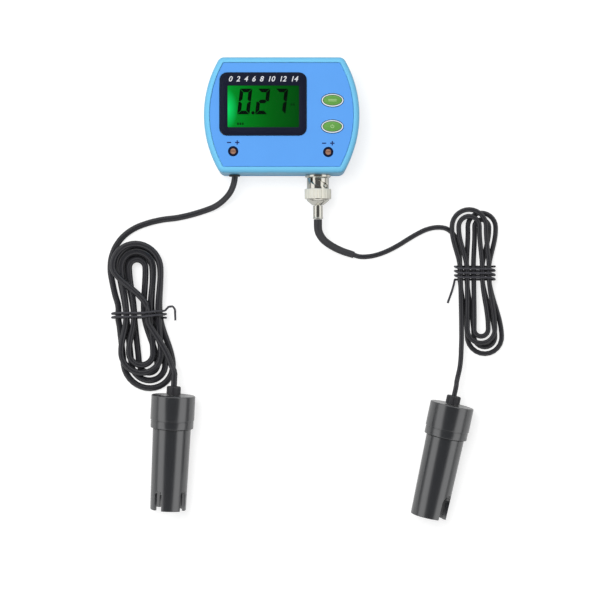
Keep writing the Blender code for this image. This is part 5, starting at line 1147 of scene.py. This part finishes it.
def make_probe(name, frame_of, cord, notch, azimuths, body):
    """A probe's gland, its screw cap and its body, whose notched guard stands round the tip."""
    gland(frame_of, name, cord, body)
    hole, room = GLAND_NECK_RADIUS + GAP, NECK_RADIUS + GAP
    seam = CAP_RADIUS - CAP_SEAM_DEPTH
    cap = eased([(room, CAP_LENGTH, 0.0), (CAP_RING_RADIUS, CAP_LENGTH, SOFT_EDGE),
                 (CAP_RING_RADIUS, CAP_BAND + CAP_GROOVE, 1.5 * FINE_EDGE), (seam, CAP_BAND + CAP_GROOVE, 0.0),
                 (seam, CAP_BAND, 0.0), (CAP_RADIUS, CAP_BAND, EDGE), (CAP_RADIUS, 0.0, CAP_EDGE), (hole, 0.0, EDGE),
                 (hole, CAP_TOP_WALL, 0.0), (room, CAP_TOP_WALL, 0.0)])
    cap = placed(lathe(cap, ROUND_STEPS), frame_of)
    piece(name + "_probe_screw_cap", cap, PROBE_BLACK, body, [name + "_probe_cap"])
    floor = PROBE_LENGTH - GUARD_DEPTH
    neck_top = CAP_TOP_WALL + 2 * GAP
    shoulder = CAP_LENGTH + GAP
    line = eased([(0.0, floor, 0.0), (GUARD_BORE, floor, SOFT_EDGE + EDGE), (GUARD_BORE, PROBE_LENGTH, EDGE),
                  (TIP_RADIUS, PROBE_LENGTH, 2 * EDGE), (SHOULDER_RADIUS, shoulder, SOFT_EDGE),
                  (NECK_RADIUS, shoulder, 0.0), (NECK_RADIUS, neck_top, 0.0), (0.0, neck_top, 0.0)])
    guard = carved(lathe(line, ROUND_STEPS), [notch_cutter(notch, math.radians(a)) for a in azimuths])
    guard = placed(guard, frame_of)
    made = piece(name + "_probe_guard_body", guard, PROBE_BLACK, body, [name + "_probe_body"], crease=28)
    soften_edges(made, NOTCH_BEVEL, 50)


def make_probes():
    make_probe("tds", TDS_PROBE_FRAME, TDS_CORD, TDS_NOTCH, TDS_NOTCH_AZIMUTHS, "case")
    make_probe("ph", PH_PROBE_FRAME, PH_CORD, PH_NOTCH, PH_NOTCH_AZIMUTHS, "ph_lead")
    for side in ("left", "right"):
        refined(f"tds_{side}_electrode", STEEL)
    refined("ph_glass_bulb", BULB_GLASS, bevel=0.0)


# ================================================================ what stays as the CAD model has it
KEPT = {
    "back_shell": BACK_BLUE, "battery_door": BACK_BLUE, "front_overlay": FACE_BLUE, "display_window": CLEAR,
    "lcd_glass": LCD_GREEN, "backlight_panel": GUIDE_GREEN, "lcd_holder": PALE_PLASTIC, "zebra_strip": ZEBRA_GREY,
    "main_board": BOARD_GREEN, "control_chip": CHIP_BLACK, "upper_switch": CHIP_BLACK, "lower_switch": CHIP_BLACK,
    "lower_cell": STEEL, "upper_cell": STEEL, "cell_bridge_contact": STEEL, "lower_cell_contact": STEEL,
    "upper_cell_contact": STEEL, "bnc_socket_nut": NICKEL, "bnc_socket_contact": GOLD, "bnc_plug_pin": GOLD,
    "bnc_plug_insulator": PTFE, "bnc_gasket": RUBBER_BLACK,
}


def finish_kept_nodes():
    kept = dict(KEPT)
    kept.update({name: STEEL for name in frame["nodes"] if name.endswith("_case_screw")})
    for name, material in kept.items():
        slots = frame["nodes"][name].data.materials
        slots.clear()
        slots.append(material)


# ================================================================ studio
VIEW_CENTRE = (0.0099, -0.0998)
VIEW_WIDTH = 0.3328  # that the camera sees of the table
CAMERA_HEIGHT = 1.0
FLOOR_REACH = 1.2
FLOOR_DROP = 0.00005
FLOOR_SHADE = 0.48
FLOOR_LIFT = (("Is Camera Ray", 0.70), ("Is Transmission Ray", 0.70), ("Is Glossy Ray", 0.22))
FILL = 0.40
GLOSS_BANDS = ((0.0, 0.30), (0.16, 0.30), (0.27, 1.10), (0.74, 1.10), (0.84, 0.10), (1.0, 0.10))  # height, grey
SOFTBOX_SIDE = 0.6
SOFTBOX_WATTS = 8.0
SOFTBOX_PLACE = (-0.26, 0.16, 1.10)


def make_camera():
    """Straight down on the table, as the photograph is."""
    data = bpy.data.cameras.new("camera")
    data.sensor_width = 36.0
    data.lens = data.sensor_width * CAMERA_HEIGHT / VIEW_WIDTH
    data.clip_start = 0.05
    camera = bpy.data.objects.new("camera", data)
    camera.location = (*VIEW_CENTRE, CAMERA_HEIGHT)
    bpy.context.scene.collection.objects.link(camera)
    bpy.context.scene.camera = camera


def make_floor():
    """A white table that keeps its shadows and shows as white to the camera."""
    bm = bmesh.new()
    bmesh.ops.create_grid(bm, x_segments=1, y_segments=1, size=FLOOR_REACH)
    bmesh.ops.translate(bm, vec=(*VIEW_CENTRE, -FLOOR_DROP), verts=bm.verts)
    mesh = bpy.data.meshes.new("table")
    bm.to_mesh(mesh)
    bm.free()
    floor = bpy.data.objects.new("table", mesh)
    bpy.context.scene.collection.objects.link(floor)
    paint = bpy.data.materials.new("white_table")
    paint.use_nodes = True
    shader = paint.node_tree.nodes["Principled BSDF"]
    for key, value in {"Base Color": (FLOOR_SHADE, FLOOR_SHADE, FLOOR_SHADE, 1.0), "Roughness": 0.9,
                       "Specular IOR Level": 0.0, "Emission Color": (1.0, 1.0, 1.0, 1.0)}.items():
        shader.inputs[key].default_value = value
    path = node(paint, "ShaderNodeLightPath")
    lift = None
    for ray, strength in FLOOR_LIFT:
        share = node(paint, "ShaderNodeMath")
        share.operation = "MULTIPLY_ADD"
        share.inputs[1].default_value = strength
        share.inputs[2].default_value = 0.0
        paint.node_tree.links.new(path.outputs[ray], share.inputs[0])
        if lift:
            paint.node_tree.links.new(lift.outputs[0], share.inputs[2])
        lift = share
    paint.node_tree.links.new(lift.outputs[0], shader.inputs["Emission Strength"])
    floor.data.materials.append(paint)


def make_world():
    """Even white light from all round; gloss sees bright walls and a dark ceiling instead, and the camera white."""
    world = bpy.data.worlds.new("studio")
    world.use_nodes = True
    bpy.context.scene.world = world
    nodes, links = world.node_tree.nodes, world.node_tree.links
    nodes.clear()
    place = nodes.new("ShaderNodeTexCoord")
    parts = nodes.new("ShaderNodeSeparateXYZ")
    links.new(place.outputs["Generated"], parts.inputs["Vector"])
    ramp = colour_ramp(world.node_tree, [(height, (grey, grey, grey)) for height, grey in GLOSS_BANDS])
    links.new(parts.outputs["Z"], ramp.inputs["Fac"])
    fill, gloss, white = (nodes.new("ShaderNodeBackground") for _ in range(3))
    fill.inputs["Color"].default_value = (FILL, FILL, FILL, 1.0)
    links.new(ramp.outputs["Color"], gloss.inputs["Color"])
    white.inputs["Color"].default_value = (1.0, 1.0, 1.0, 1.0)
    path = nodes.new("ShaderNodeLightPath")
    seen = fill.outputs[0]
    for ray, shown in (("Is Glossy Ray", gloss), ("Is Camera Ray", white)):
        choice = nodes.new("ShaderNodeMixShader")
        for index, source in enumerate((path.outputs[ray], seen, shown.outputs[0])):
            links.new(source, choice.inputs[index])
        seen = choice.outputs[0]
    links.new(seen, nodes.new("ShaderNodeOutputWorld").inputs["Surface"])


def make_lamp():
    """One large soft lamp from the upper left, which gloss doesn't see."""
    data = bpy.data.lights.new("softbox", "AREA")
    data.shape = "RECTANGLE"
    data.size = data.size_y = SOFTBOX_SIDE
    data.energy = SOFTBOX_WATTS
    lamp = bpy.data.objects.new("softbox", data)
    lamp.visible_glossy = False
    lamp.location = SOFTBOX_PLACE
    lamp.rotation_euler = (Vector((*VIEW_CENTRE, 0.0)) - lamp.location).to_track_quat("-Z", "Y").to_euler()
    bpy.context.scene.collection.objects.link(lamp)


# ================================================================ making it all
make_camera()
make_cords()
make_case_front()
make_bezel()
make_digits()
make_controls()
make_connector()
make_probes()
finish_kept_nodes()
make_floor()
make_world()
make_lamp()
bpy.context.scene.view_settings.view_transform = "Standard"
